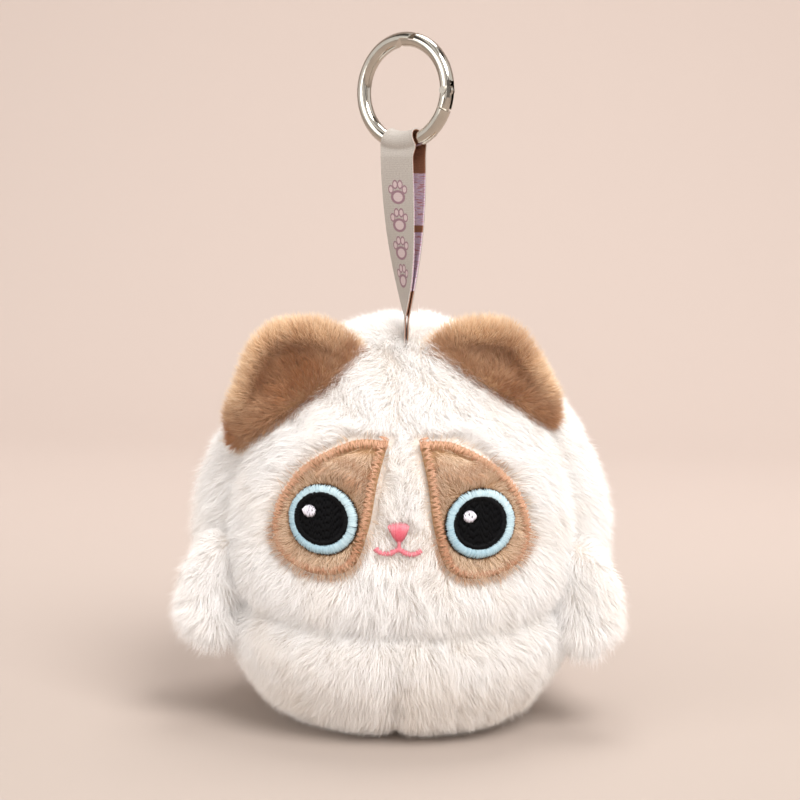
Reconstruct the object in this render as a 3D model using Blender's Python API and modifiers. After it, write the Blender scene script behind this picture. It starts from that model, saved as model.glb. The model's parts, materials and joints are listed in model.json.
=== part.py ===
"""Plush cat keychain: a stuffed fur ball with ears, paws and an embroidered face, hung by
a folded ribbon from a spring-gate ring.

Metres, +Z up. The cat sits on its base at the origin and looks along -Y. Left is at -X.
Soft pieces are solids of the size that their pile takes up.
"""

import math

import bmesh
import bpy
from mathutils import Matrix, Vector

MM = 0.001
GAP = 0.3 * MM
HALF_GAP = GAP / 2
COLLECTION = "plush_keychain"
CUTTERS = "plush_keychain_cutters"
SIDES = {"left": -1, "right": 1}

# Body: a ball that is wider behind the side seam, and flat where it sits.
HALF_WIDTH = 56.5 * MM
HALF_DEPTH = 51.0 * MM
WAIST = 47.0 * MM            # height of the widest section
RISE = 60.5 * MM             # from the waist to the crown
DROP = 49.0 * MM             # from the waist down; the base cuts off the last 2 mm
ROUND_ABOVE = 2.15           # superellipse powers: upper profile, lower profile, plan
ROUND_BELOW = 3.2
ROUND_PLAN = 2.15
PINCH = 0.13                 # share of the width lost in front of the seam and near the base
PINCH_Y = (-18 * MM, 2 * MM)
PINCH_BASE = (22 * MM, 42 * MM)
PINCH_CROWN = (85 * MM, 102 * MM)
BODY_SEGMENTS = 36
BODY_RINGS = 20

# Seams: left and right at X = 0, face and back at SEAM_Y, chin crease at CHIN.
SEAM_Y = -15 * MM
CHIN = 31 * MM
BELLY_REAR = 20 * MM         # Y at which the belly panels end under the base
PANEL = 6.0 * MM             # pile and backing together
STUFFING = 7.2 * MM          # depth of the filling, clear of the panels' facets
FAR = 90 * MM                # past the body on every side
BELOW = -8 * MM              # under the base
CROWN_SLOT_Z = (90 * MM, 120 * MM)

# Face, as outlines in X and Z that are projected along Y. X is for the right side.
FACE_Y = (-70 * MM, -20 * MM)
PATCH_OUTLINE = [(3.8, 79.8), (14, 80), (27, 72), (33.8, 60), (32, 49), (21.5, 44.4),
                 (11.5, 46.8), (7.2, 57), (6, 68)]
STITCH_WIDTH = 2.0 * MM
EYE_CENTRE = (18.6 * MM, 58.7 * MM)
IRIS_RADIUS = 8.0 * MM
PUPIL_RADIUS = 6.7 * MM
GLINT_RADIUS = 1.35 * MM
GLINT_OFFSET = (-2.9 * MM, 1.8 * MM)
NOSE_OUTLINE = [(-2.9, 58.9), (-2.4, 60.3), (0, 60.6), (2.4, 60.3), (2.9, 58.9), (0.9, 56.1),
                (-0.9, 56.1)]
MOUTH_OUTLINE = [(-0.6, 55.6), (0.6, 55.6), (0.8, 54.0), (2.2, 52.2), (4.2, 52.1), (6, 53.9),
                 (6.3, 52.7), (4.4, 50.9), (1.9, 50.9), (0, 52.4), (-1.9, 50.9),
                 (-4.4, 50.9), (-6.3, 52.7), (-6, 53.9), (-4.2, 52.1), (-2.2, 52.2),
                 (-0.8, 54.0)]

# Depths below the pile's surface, top and underside, with each pocket's floor a gap deeper.
PATCH_LAYER = (1.2 * MM, 4.3 * MM)
STITCH_LAYER = (0.8 * MM, 4.3 * MM)
IRIS_LAYER = (0.5 * MM, 2.6 * MM)
PUPIL_LAYER = (0.7 * MM, 2.6 * MM)
GLINT_LAYER = (0.4 * MM, 1.5 * MM)
NOSE_LAYER = (0.2 * MM, 2.3 * MM)
MOUTH_LAYER = (0.6 * MM, 2.3 * MM)

# Ears: outline along the base line and up from it, from the inner corner to the outer one.
# The base line is a chord. Between its ends the ear bulges forward, most of all at its foot.
EAR_OUTLINE = [(-21, -7), (-22, 1), (-21, 5.5), (-17, 11.5), (-9.5, 16), (-3.5, 16.6), (2.5, 13.8),
               (9.5, 8.5), (16, 4.5), (20.5, -1), (20.5, -7)]
EAR_SCALE = {"left": 1.06, "right": 0.94}
EAR_BASE = {"left": (Vector((-12.8, -20.0, 98.3)) * MM, Vector((-45.3, -12.5, 74.7)) * MM),
            "right": (Vector((7.2, -19.0, 100.2)) * MM, Vector((40.3, -10.5, 81.8)) * MM)}
EAR_UP = Vector((0.42, 0.10, 0.90))      # for the right ear
EAR_LAYER = 5.0 * MM
EAR_BULGE = 9.0 * MM
EAR_BULGE_LOSS = 3.5         # of the bulge, from the foot to the top
EAR_CUTS = (range(-20, 21, 5), range(-4, 13, 4))     # millimetres along and up
EAR_FLEX = 15                # degrees each way
EAR_AXIS_LIFT = 1.0 * MM
FLAP_EDGE = 0.3              # share of a layer's thickness that its soft edge takes
FLAP_EDGE_ANGLE = math.radians(50)

# Paws: flaps sewn into the side seams, as outlines in X and Z.
PAW_OUTLINE = [(44, 51), (53.5, 50.5), (59, 43.5), (60.5, 34), (58.5, 26), (53, 21.5),
               (46.5, 20.5), (40, 24), (40, 38)]
PAW_Y = -17.5 * MM
PAW_LAYER = 4.0 * MM
PAW_AXIS_X = 47.5 * MM
PAW_SWING = 40               # degrees, forward

# Ribbon: 10 mm wide, folded over the ring's wire, with both ends sewn into the crown.
RIBBON_WIDTH = 10.0 * MM
RIBBON_THICKNESS = 0.6 * MM
RIBBON_PITCH = 0.45 * MM     # from the middle to each layer, where the layers lie together
LEAN_AXIS_Z = 107.4 * MM     # just over the crown
LEG_START_Z = 107.6 * MM
ROOT_Z = (100.3 * MM, 103.0 * MM)
LEG_STEPS = 12
BIGHT_CLEARANCE = 0.55 * MM
BIGHT_WRAP = (-38, 218)      # degrees round the wire, from its front face over the inside
BIGHT_WRAP_STEP = 16
BIGHT_HALF_STEPS = 3         # rows each side of the middle
LEG_BELOW_WIRE = 3.4 * MM

# Ring: a sprung gate in a round wire. It stands turned, its right side to the front.
RING_CENTRE = Vector((-2.0, -15.0, 165.6)) * MM
RING_RADIUS = 13.1 * MM      # to the middle of the wire
WIRE_RADIUS = 1.9 * MM
RING_TURN = math.radians(36)
WIRE_SIDES = 16
ARC_STEP = 6                 # degrees
GATE_SPAN = (-20, 75)        # degrees, full section; the tip's lap goes on to LAP_END
LAP_END = 93
ARC_END = 340
CUT_GAP = 1.4                # degrees between the gate and the arc, 0.32 mm
CUT_PAST = 5                 # degrees that a cutter runs on past what it cuts
TIP_CLEARS_AT = 16           # degrees of opening by which the gate's tip is out of the arc
TIP_SWING_STEP = 2
PIN_ANGLE = 0
TANG_THICKNESS = 1.1 * MM
TANG_REACH = 1.2 * MM       # each side of the wire's middle
TANG_EYE_RADIUS = 1.6 * MM
TANG_SPAN = (-28, -3)        # degrees, from inside the arc's heel to the pin's eye
SLOT_WIDTH = 1.8 * MM
SLOT_END = 9                 # degrees past the pin
PIN_RADIUS = 0.6 * MM
PIN_HEAD_RADIUS = 0.95 * MM
PIN_HEAD_HEIGHT = 0.35 * MM
PIN_HEAD_SUNK = 0.1 * MM
TALL = 4 * WIRE_RADIUS       # taller than the wire, for cutters
INSIDE_OR_OUT = 2 * WIRE_RADIUS          # clear of the wire, for cutters
BORE_RADIUS = 1.15 * MM
BORE_LENGTH = 6.2 * MM
BORE_TURN = 13               # degrees, half of what the bore spans in the curved gate
BORE_OPENING = 0.5 * MM      # how far its cutter starts inside the slot
SPRING_RADIUS = 0.72 * MM
SPRING_WIRE = 0.11 * MM
SPRING_TURNS = 7
SPRING_STEPS = 10            # points to a turn
SPRING_ROOM = (0.5 * MM, 0.7 * MM)       # left free at the bore's two ends

MATERIALS = {
    "white_pile": ((0.86, 0.83, 0.79), 0.95, 0.0),
    "tan_pile": ((0.55, 0.36, 0.21), 0.95, 0.0),
    "filling": ((0.92, 0.92, 0.90), 1.0, 0.0),
    "peach_thread": ((0.78, 0.46, 0.28), 0.55, 0.0),
    "blue_thread": ((0.45, 0.68, 0.76), 0.5, 0.0),
    "black_thread": ((0.01, 0.01, 0.012), 0.45, 0.0),
    "white_thread": ((0.9, 0.89, 0.92), 0.5, 0.0),
    "pink_thread": ((0.80, 0.27, 0.32), 0.55, 0.0),
    "ribbon": ((0.70, 0.62, 0.53), 0.7, 0.0),
    "nickel": ((0.66, 0.63, 0.60), 0.18, 1.0),
    "spring_steel": ((0.55, 0.55, 0.56), 0.3, 1.0),
}


# ---- scene helpers -------------------------------------------------------------------

def clear_scene():
    for old in list(bpy.data.objects):
        bpy.data.objects.remove(old, do_unlink=True)


def collection(name):
    found = bpy.data.collections.get(name)
    if found is None:
        found = bpy.data.collections.new(name)
        bpy.context.scene.collection.children.link(found)
    return found


def material_for(piece, finish):
    """One material for each piece, so that every piece can be recoloured on its own."""
    colour, roughness, metallic = MATERIALS[finish]
    material = bpy.data.materials.new(f"{piece}_{finish}")
    material.use_nodes = True
    shader = material.node_tree.nodes["Principled BSDF"]
    shader.inputs["Base Color"].default_value = (*colour, 1.0)
    shader.inputs["Roughness"].default_value = roughness
    shader.inputs["Metallic"].default_value = metallic
    return material


def part(name, mesh, finish, matrix=None):
    """A named sub-part in the object's collection."""
    made = bpy.data.objects.new(name, mesh)
    made.matrix_world = matrix or Matrix.Identity(4)
    mesh.materials.clear()
    mesh.materials.append(material_for(name, finish))
    collection(COLLECTION).objects.link(made)
    return made


def cutter(name, mesh, matrix=None):
    """A hidden shape that only cuts others."""
    made = bpy.data.objects.new(name, mesh)
    made.matrix_world = matrix or Matrix.Identity(4)
    made.display_type = "WIRE"
    made.hide_render = True
    collection(CUTTERS).objects.link(made)
    return made


def boolean(target, tool, operation="DIFFERENCE"):
    modifier = target.modifiers.new(f"{operation.lower()}_{tool.name}", "BOOLEAN")
    modifier.operation = operation
    modifier.solver = "EXACT"
    modifier.object = tool


def finish_mesh(name, bm):
    """Close a bmesh into a mesh whose faces point out."""
    bmesh.ops.remove_doubles(bm, verts=bm.verts, dist=0.001 * MM)
    bmesh.ops.recalc_face_normals(bm, faces=bm.faces)
    mesh = bpy.data.meshes.new(name)
    bm.to_mesh(mesh)
    bm.free()
    return mesh


def mesh_of(source):
    """The closed mesh of a curve or of an object with modifiers; the source is removed."""
    bpy.context.view_layer.update()
    evaluated = source.evaluated_get(bpy.context.evaluated_depsgraph_get())
    raw = bpy.data.meshes.new_from_object(evaluated)
    bm = bmesh.new()
    bm.from_mesh(raw)
    bpy.data.meshes.remove(raw)
    name = source.name
    bpy.data.objects.remove(source, do_unlink=True)
    return finish_mesh(name, bm)


def curve_object(name, points, cyclic, dimensions="3D"):
    curve = bpy.data.curves.new(name, "CURVE")
    curve.dimensions = dimensions
    spline = curve.splines.new("POLY")
    spline.points.add(len(points) - 1)
    for point, place in zip(spline.points, points):
        point.co = (*place, 1.0)
    spline.use_cyclic_u = cyclic
    made = bpy.data.objects.new(name, curve)
    bpy.context.scene.collection.objects.link(made)
    return made


def outline_mesh(name, outline, depth):
    """A flat outline, extruded by depth about its own plane."""
    shape = curve_object(name, [(a, b, 0.0) for a, b in outline], True, "2D")
    shape.data.fill_mode = "BOTH"
    shape.data.extrude = depth / 2
    return mesh_of(shape)


def tube_mesh(name, points, radius, resolution):
    wire = curve_object(name, points, False)
    wire.data.bevel_depth = radius
    wire.data.bevel_resolution = resolution
    wire.data.use_fill_caps = True
    return mesh_of(wire)


def cylinder_mesh(name, radius, depth, sides=16):
    bm = bmesh.new()
    bmesh.ops.create_cone(bm, cap_ends=True, segments=sides, radius1=radius, radius2=radius,
                          depth=depth)
    return finish_mesh(name, bm)


def box_mesh(name, low, high):
    bm = bmesh.new()
    bmesh.ops.create_cube(bm, size=1.0)
    size = Vector(high) - Vector(low)
    middle = (Vector(high) + Vector(low)) / 2
    bmesh.ops.transform(bm, matrix=Matrix.Translation(middle) @ Matrix.Diagonal((*size, 1)),
                        verts=bm.verts)
    return finish_mesh(name, bm)


def facing(x_axis, y_axis, z_axis, origin):
    """A placement whose columns are the three axes and the origin."""
    matrix = Matrix((x_axis, y_axis, z_axis)).transposed().to_4x4()
    matrix.translation = origin
    return matrix


def along_y(low, high):
    """Stands an outline up in X and Z, with its depth between two values of Y."""
    return facing((1, 0, 0), (0, 0, 1), (0, -1, 0), (0, (low + high) / 2, 0))


def turned_about(axis, point, angle):
    """A rotation about a line in the world."""
    shift = Matrix.Translation(point)
    return shift @ Matrix.Rotation(angle, 4, axis) @ shift.inverted()


def hang(child, parent):
    """Parents a piece or a pivot without moving it."""
    bpy.context.view_layer.update()
    world = child.matrix_world.copy()
    child.parent = parent
    child.matrix_parent_inverse = parent.matrix_world.inverted()
    child.matrix_world = world


def pivot(name, place, axis, carried_by=None):
    """An empty on a joint, with its Z along the joint's axis."""
    empty = bpy.data.objects.new(name, None)
    empty.empty_display_size = 5 * MM
    turned = Vector(axis).to_track_quat("Z", "Y").to_matrix().to_4x4()
    empty.matrix_world = Matrix.Translation(place) @ turned
    collection(COLLECTION).objects.link(empty)
    if carried_by:
        hang(empty, carried_by)
    return empty


# ---- outlines ------------------------------------------------------------------------

def smooth_outline(corners, steps=3):
    """A closed curve through the corners, given in millimetres."""
    count = len(corners)
    points = []
    for index in range(count):
        before, start, end, after = (Vector(corners[(index + k) % count]) for k in (-1, 0, 1, 2))
        for step in range(steps):
            t = step / steps
            place = 0.5 * ((2 * start) + (end - before) * t
                           + (2 * before - 5 * start + 4 * end - after) * t ** 2
                           + (3 * start - before - 3 * end + after) * t ** 3)
            points.append(place * MM)
    return points


def grown(outline, distance):
    """The outline moved outwards, square to itself; a negative distance shrinks it."""
    count = len(outline)
    area = sum(outline[i - 1].x * outline[i].y - outline[i].x * outline[i - 1].y
               for i in range(count))
    outwards = distance if area > 0 else -distance
    moved = []
    for index, place in enumerate(outline):
        along = (outline[(index + 1) % count] - outline[index - 1]).normalized()
        moved.append(place + outwards * Vector((along.y, -along.x)))
    return moved


def circle(centre, radius, count=28):
    turn = 2 * math.pi / count
    return [Vector((centre[0] + radius * math.cos(turn * i), centre[1] + radius * math.sin(turn * i)))
            for i in range(count)]


def on_side(outline, side):
    return [Vector((side * place.x, place.y)) for place in outline]


# ---- body surface --------------------------------------------------------------------

def smoothstep(span, value):
    t = min(max((value - span[0]) / (span[1] - span[0]), 0.0), 1.0)
    return t * t * (3 - 2 * t)


def signed_power(value, power):
    return math.copysign(abs(value) ** power, value)


def width_factor(y, z):
    """The body is narrower in front of the side seam and near the base."""
    full = smoothstep(PINCH_Y, y) * smoothstep(PINCH_BASE, z)
    return 1 - PINCH * (1 - full) * (1 - smoothstep(PINCH_CROWN, z))


def body_point(direction, inset):
    """Where the body's surface, moved in by inset, lies in a direction from its middle."""
    ring = math.hypot(direction.x, direction.y)
    above = direction.z > 0
    power = ROUND_ABOVE if above else ROUND_BELOW
    height = (RISE if above else DROP) - inset
    reach = ring ** (2 / power)
    plan = 2 / ROUND_PLAN
    cosine, sine = (direction.x / ring, direction.y / ring) if ring > 1e-6 else (0.0, 0.0)
    x = (HALF_WIDTH - inset) * reach * signed_power(cosine, plan)
    y = (HALF_DEPTH - inset) * reach * signed_power(sine, plan)
    z = max(WAIST + height * signed_power(direction.z, 2 / power), inset)
    return Vector((x * width_factor(y, z), y, z))


def body_mesh(name, inset):
    bm = bmesh.new()
    bmesh.ops.create_uvsphere(bm, u_segments=BODY_SEGMENTS, v_segments=BODY_RINGS, radius=1.0)
    for vertex in bm.verts:
        vertex.co = body_point(vertex.co, inset)
    bmesh.ops.triangulate(bm, faces=bm.faces, quad_method="FIXED")
    return finish_mesh(name, bm)


def layer(inset):
    """The body moved in by inset, kept as a cutter and shared."""
    name = f"layer_{round(inset / MM * 10):+04d}"
    return bpy.data.objects.get(name) or cutter(name, body_mesh(name, inset))


# ---- sewn panels ---------------------------------------------------------------------

def panel_regions():
    """Each panel's share of the body, as a polygon in Y and Z."""
    slope = (CHIN - BELOW) / (BELLY_REAR - SEAM_Y)
    rear_gap = HALF_GAP * math.hypot(1, slope) / slope
    return {
        "face_panel": [(-FAR, CHIN + HALF_GAP), (SEAM_Y - HALF_GAP, CHIN + HALF_GAP),
                       (SEAM_Y - HALF_GAP, 2 * FAR), (-FAR, 2 * FAR)],
        "belly_panel": [(-FAR, BELOW), (BELLY_REAR - rear_gap, BELOW),
                        (SEAM_Y - rear_gap, CHIN - HALF_GAP), (-FAR, CHIN - HALF_GAP)],
        "back_panel": [(SEAM_Y + HALF_GAP, 2 * FAR), (SEAM_Y + HALF_GAP, CHIN),
                       (BELLY_REAR + rear_gap, BELOW), (FAR, BELOW), (FAR, 2 * FAR)],
    }


def make_panels():
    half_slot = (RIBBON_PITCH + RIBBON_THICKNESS, RIBBON_WIDTH / 2 + GAP)
    crown_slot = cutter("crown_slot", box_mesh(
        "crown_slot", (-half_slot[0], SEAM_Y - half_slot[1], CROWN_SLOT_Z[0]),
        (half_slot[0], SEAM_Y + half_slot[1], CROWN_SLOT_Z[1])))
    for kind, polygon in panel_regions().items():
        for side_name, side in SIDES.items():
            name = f"{kind}_{side_name}"
            middle = side * (HALF_GAP + FAR / 2)
            region = cutter(f"region_{name}", outline_mesh(f"region_{name}", polygon, FAR),
                            facing((0, 1, 0), (0, 0, 1), (1, 0, 0), (middle, 0, 0)))
            panel = part(name, body_mesh(name, 0.0), "white_pile")
            boolean(panel, region, "INTERSECT")
            boolean(panel, layer(PANEL))
            if kind != "belly_panel":
                boolean(panel, crown_slot)
            if kind == "face_panel":
                boolean(panel, pocket(f"patch_pocket_{side_name}", patch_edge(side, GAP), PATCH_LAYER))
                boolean(panel, pocket(f"nose_pocket_{side_name}", nose_edge(GAP), NOSE_LAYER))
                boolean(panel, pocket(f"mouth_pocket_{side_name}", mouth_edge(GAP), MOUTH_LAYER))


def make_stuffing():
    part("stuffing", body_mesh("stuffing", STUFFING), "filling")


# ---- face ----------------------------------------------------------------------------

def patch_edge(side, growth=0.0):
    return on_side(grown(smooth_outline(PATCH_OUTLINE), growth), side)


def nose_edge(growth=0.0):
    return grown(smooth_outline(NOSE_OUTLINE, 2), growth)


def mouth_edge(growth=0.0):
    return grown([Vector(place) * MM for place in MOUTH_OUTLINE], growth)


def face_prism(name, outline):
    return cutter(name, outline_mesh(name, outline, FACE_Y[1] - FACE_Y[0]), along_y(*FACE_Y))


def pocket(name, outline, depths):
    """A recess that leaves a gap under and round an inlaid piece."""
    recess = face_prism(name, outline)
    boolean(recess, layer(depths[1] + GAP))
    return recess


def inlay(name, outline, depths, finish):
    """A piece of the body's own curve, between two depths and inside an outline."""
    piece = part(name, body_mesh(name, depths[0]), finish)
    boolean(piece, face_prism(f"edge_{name}", outline), "INTERSECT")
    boolean(piece, layer(depths[1]))
    return piece


def make_eye(side_name, side):
    centre = (side * EYE_CENTRE[0], EYE_CENTRE[1])
    glint_centre = (centre[0] + GLINT_OFFSET[0], centre[1] + GLINT_OFFSET[1])
    iris = inlay(f"iris_{side_name}", circle(centre, IRIS_RADIUS), IRIS_LAYER, "blue_thread")
    boolean(iris, face_prism(f"iris_hole_{side_name}", circle(centre, PUPIL_RADIUS + GAP)))
    pupil = inlay(f"pupil_{side_name}", circle(centre, PUPIL_RADIUS), PUPIL_LAYER, "black_thread")
    boolean(pupil, pocket(f"glint_pocket_{side_name}",
                          circle(glint_centre, GLINT_RADIUS + GAP, 12), GLINT_LAYER))
    inlay(f"eye_glint_{side_name}", circle(glint_centre, GLINT_RADIUS, 12), GLINT_LAYER,
          "white_thread")


def make_patch(side_name, side):
    centre = (side * EYE_CENTRE[0], EYE_CENTRE[1])
    inner = patch_edge(side, -STITCH_WIDTH)
    patch = inlay(f"eye_patch_{side_name}", inner, PATCH_LAYER, "tan_pile")
    boolean(patch, pocket(f"eye_pocket_{side_name}", circle(centre, IRIS_RADIUS + GAP), IRIS_LAYER))
    stitch = inlay(f"patch_stitching_{side_name}", patch_edge(side), STITCH_LAYER, "peach_thread")
    boolean(stitch, face_prism(f"stitch_hole_{side_name}", patch_edge(side, GAP - STITCH_WIDTH)))


def make_face():
    for side_name, side in SIDES.items():
        make_patch(side_name, side)
        make_eye(side_name, side)
    inlay("nose", nose_edge(), NOSE_LAYER, "pink_thread")
    inlay("mouth", mouth_edge(), MOUTH_LAYER, "pink_thread")


# ---- ears and paws -------------------------------------------------------------------

def flap_layer(name, mesh, offset, placement, finish):
    """One fabric layer of a flap, with soft edges, offset across the flap."""
    piece = part(name, mesh, finish, placement @ Matrix.Translation((0, 0, offset)))
    bevel = piece.modifiers.new("soft_edge", "BEVEL")
    bevel.width = FLAP_EDGE * 2 * abs(offset)
    bevel.segments = 1
    bevel.limit_method = "ANGLE"
    bevel.angle_limit = FLAP_EDGE_ANGLE
    return piece


def clear_of_body(piece, name, axis, point, angles):
    """Cut away what the body would meet as the flap moves through its range."""
    for angle in angles:
        label = f"{name}_{angle:+03d}"
        swept = bpy.data.objects.get(label)
        if swept is None:
            swept = cutter(label, body_mesh(label, -GAP),
                           turned_about(axis, point, math.radians(-angle)))
        boolean(piece, swept)


def bulged_mesh(name, outline, thickness, forward):
    """A flat flap, cut into small cells and bent forward along its own Z."""
    flat = outline_mesh(name, outline, thickness)
    bm = bmesh.new()
    bm.from_mesh(flat)
    bpy.data.meshes.remove(flat)
    for axis, cuts in zip(((1, 0, 0), (0, 1, 0)), EAR_CUTS):
        for cut in cuts:
            everything = bm.verts[:] + bm.edges[:] + bm.faces[:]
            bmesh.ops.bisect_plane(bm, geom=everything, plane_co=Vector(axis) * cut * MM,
                                   plane_no=axis)
    half = max(abs(place.x) for place in outline)
    top = max(place.y for place in outline)
    for vertex in bm.verts:
        along = 1 - (vertex.co.x / half) ** 2
        height = EAR_BULGE - EAR_BULGE_LOSS * MM * vertex.co.y / top
        vertex.co.z += forward * along * height
    bmesh.ops.triangulate(bm, faces=bm.faces)
    return finish_mesh(name, bm)


def make_ears():
    for side_name, side in SIDES.items():
        inner, outer = EAR_BASE[side_name]
        along = (outer - inner).normalized()
        up = Vector((side * EAR_UP.x, EAR_UP.y, EAR_UP.z))
        up = (up - up.dot(along) * along).normalized()
        across = along.cross(up)
        outline = [Vector(place) * MM * EAR_SCALE[side_name] for place in EAR_OUTLINE]
        middle = (inner + outer) / 2
        placement = facing(along, up, across, middle)
        axis_point = middle + EAR_AXIS_LIFT * up
        hinge = pivot(f"ear_{side_name}_pivot", axis_point, along)
        for label, forward in (("front", side), ("back", -side)):
            name = f"ear_{label}_{side_name}"
            mesh = bulged_mesh(name, outline, EAR_LAYER, side)
            piece = flap_layer(name, mesh, forward * (EAR_LAYER + GAP) / 2, placement, "tan_pile")
            clear_of_body(piece, f"ear_sweep_{side_name}", along, axis_point,
                          (-EAR_FLEX, 0, EAR_FLEX))
            hang(piece, hinge)


def make_paws():
    for side_name, side in SIDES.items():
        outline = on_side([Vector(place) * MM for place in PAW_OUTLINE], side)
        placement = along_y(PAW_Y, PAW_Y)
        axis_point = Vector((side * PAW_AXIS_X, PAW_Y, 0))
        axis = Vector((0, 0, -side))
        hinge = pivot(f"paw_{side_name}_pivot", axis_point, axis)
        for label, forward in (("front", 1), ("back", -1)):
            name = f"paw_{label}_{side_name}"
            mesh = outline_mesh(name, outline, PAW_LAYER)
            piece = flap_layer(name, mesh, forward * (PAW_LAYER + GAP) / 2, placement, "white_pile")
            clear_of_body(piece, f"paw_sweep_{side_name}", axis, axis_point, (0, PAW_SWING))
            hang(piece, hinge)


# ---- ribbon --------------------------------------------------------------------------

def ring_axes():
    """The ring's own directions: across it to the right, and out of its front face."""
    across = Vector((math.cos(RING_TURN), -math.sin(RING_TURN), 0))
    front = Vector((-math.sin(RING_TURN), -math.cos(RING_TURN), 0))
    return across, front


def ring_place(angle, radius=RING_RADIUS, forward=0.0):
    """A point of the ring in the world, by its angle from the right-hand side."""
    across, front = ring_axes()
    turn = math.radians(angle)
    flat = radius * (math.cos(turn) * across + math.sin(turn) * Vector((0, 0, 1)))
    return RING_CENTRE + flat + forward * front


def sheet_part(name, rows, thickness):
    """A sheet of fabric through rows of points, thickened both ways."""
    bm = bmesh.new()
    grid = [[bm.verts.new(place) for place in row] for row in rows]
    for low, high in zip(grid, grid[1:]):
        for index in range(len(low) - 1):
            bm.faces.new((low[index], low[index + 1], high[index + 1], high[index]))
    piece = part(name, finish_mesh(name, bm), "ribbon")
    solid = piece.modifiers.new("thickness", "SOLIDIFY")
    solid.thickness = thickness
    solid.offset = 0
    return piece


def leg_rows(side):
    """The ribbon's rows from the crown to just under the wire; side is 1 for the front leg."""
    start = Vector((0, SEAM_Y, LEG_START_Z))
    end = ring_place(270) - Vector((0, 0, LEG_BELOW_WIRE))
    spread = WIRE_RADIUS + BIGHT_CLEARANCE + RIBBON_THICKNESS / 2
    rows = []
    for step in range(LEG_STEPS + 1):
        t = step / LEG_STEPS
        turn = math.pi / 2 + (RING_TURN - math.pi / 2) * t
        wide = Vector((math.cos(turn), -math.sin(turn), 0)) * (RIBBON_WIDTH / 2)
        out = Vector((-math.sin(turn), -math.cos(turn), 0))
        offset = RIBBON_PITCH + (spread - RIBBON_PITCH) * smoothstep((0.1, 1.0), t)
        middle = start.lerp(end, t) + side * offset * out
        rows.append([middle - wide, middle, middle + wide])
    return rows


def bight_rows():
    """The fold over the wire, from behind the wire, over its inner side, to its front."""
    front = ring_axes()[1]
    radius = WIRE_RADIUS + BIGHT_CLEARANCE + RIBBON_THICKNESS / 2
    half_span = math.degrees(RIBBON_WIDTH / 2 / RING_RADIUS)
    rows = []
    for step in range(-BIGHT_HALF_STEPS, BIGHT_HALF_STEPS + 1):
        angle = 270 + half_span * step / BIGHT_HALF_STEPS
        middle = ring_place(angle)
        inwards = (RING_CENTRE - middle).normalized()
        row = []
        for turn in range(BIGHT_WRAP[0], BIGHT_WRAP[1] + 1, BIGHT_WRAP_STEP):
            around = math.radians(turn)
            row.append(middle + radius * (math.cos(around) * front + math.sin(around) * inwards))
        rows.append(row)
    return rows


def make_ribbon(lean, swing):
    hang(sheet_part("strap_leg_front", leg_rows(1), RIBBON_THICKNESS), lean)
    hang(sheet_part("strap_leg_back", leg_rows(-1), RIBBON_THICKNESS), lean)
    hang(sheet_part("strap_bight", bight_rows(), RIBBON_THICKNESS), swing)
    half = RIBBON_PITCH + RIBBON_THICKNESS / 2
    root = box_mesh("strap_root", (-half, SEAM_Y - RIBBON_WIDTH / 2, ROOT_Z[0]),
                    (half, SEAM_Y + RIBBON_WIDTH / 2, ROOT_Z[1]))
    part("strap_root", root, "ribbon")


# ---- ring ----------------------------------------------------------------------------

def arc_mesh(name, start, end):
    steps = math.ceil((end - start) / ARC_STEP)
    points = [ring_place(start + (end - start) * i / steps) for i in range(steps + 1)]
    return tube_mesh(name, points, WIRE_RADIUS, WIRE_SIDES // 4 - 1)


def ring_sector(name, start, end, inner, outer, width):
    """A flat piece of ring plane between two angles and two radii, as a cutter."""
    count = max(2, math.ceil((end - start) / ARC_STEP))
    angles = [math.radians(start + (end - start) * i / count) for i in range(count + 1)]
    outline = [(outer * math.cos(a), outer * math.sin(a)) for a in angles]
    outline += [(inner * math.cos(a), inner * math.sin(a)) for a in reversed(angles)]
    return ring_prism(name, outline, width)


def on_pin(name, radius, depth, shift=0.0):
    """A cylinder mesh on the gate's hinge axis."""
    across, front = ring_axes()
    mesh = cylinder_mesh(name, radius, depth)
    mesh.transform(facing(across, (0, 0, 1), front, ring_place(PIN_ANGLE, forward=shift)))
    return mesh


def ring_prism(name, outline, width):
    """A cutter with an outline in the ring's plane, about the ring's centre."""
    across, front = ring_axes()
    return cutter(name, outline_mesh(name, outline, width),
                  facing(across, (0, 0, 1), front, RING_CENTRE))


def swung_in(radius, angle, opening):
    """A point of the gate in the ring's plane, once the gate has opened by some degrees."""
    pin = Vector((RING_RADIUS, 0))
    turn = math.radians(angle)
    from_pin = Vector((radius * math.cos(turn), radius * math.sin(turn))) - pin
    return pin + Matrix.Rotation(math.radians(opening), 2) @ from_pin


def corner_path(radius, angle):
    """Where a corner of the gate goes as it opens."""
    openings = range(0, TIP_CLEARS_AT, TIP_SWING_STEP)
    return [swung_in(radius, angle, opening) for opening in openings]


def tip_swing():
    """What the gate's tip passes through as it opens, with a gap round it."""
    angle = LAP_END + CUT_GAP / 2
    bottom = RING_RADIUS - INSIDE_OR_OUT
    start = swung_in(bottom, angle - CUT_PAST, 0)
    end = swung_in(bottom, angle, TIP_CLEARS_AT)
    return [start] + corner_path(RING_RADIUS + HALF_GAP, angle) + [end]


def shoulder_swing():
    """What the step behind the gate's lap passes through as it opens, with the same gap."""
    angle = GATE_SPAN[1] + CUT_GAP
    start = swung_in(RING_RADIUS, angle - CUT_PAST, 0)
    return [start] + corner_path(RING_RADIUS + WIRE_RADIUS, angle)


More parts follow.
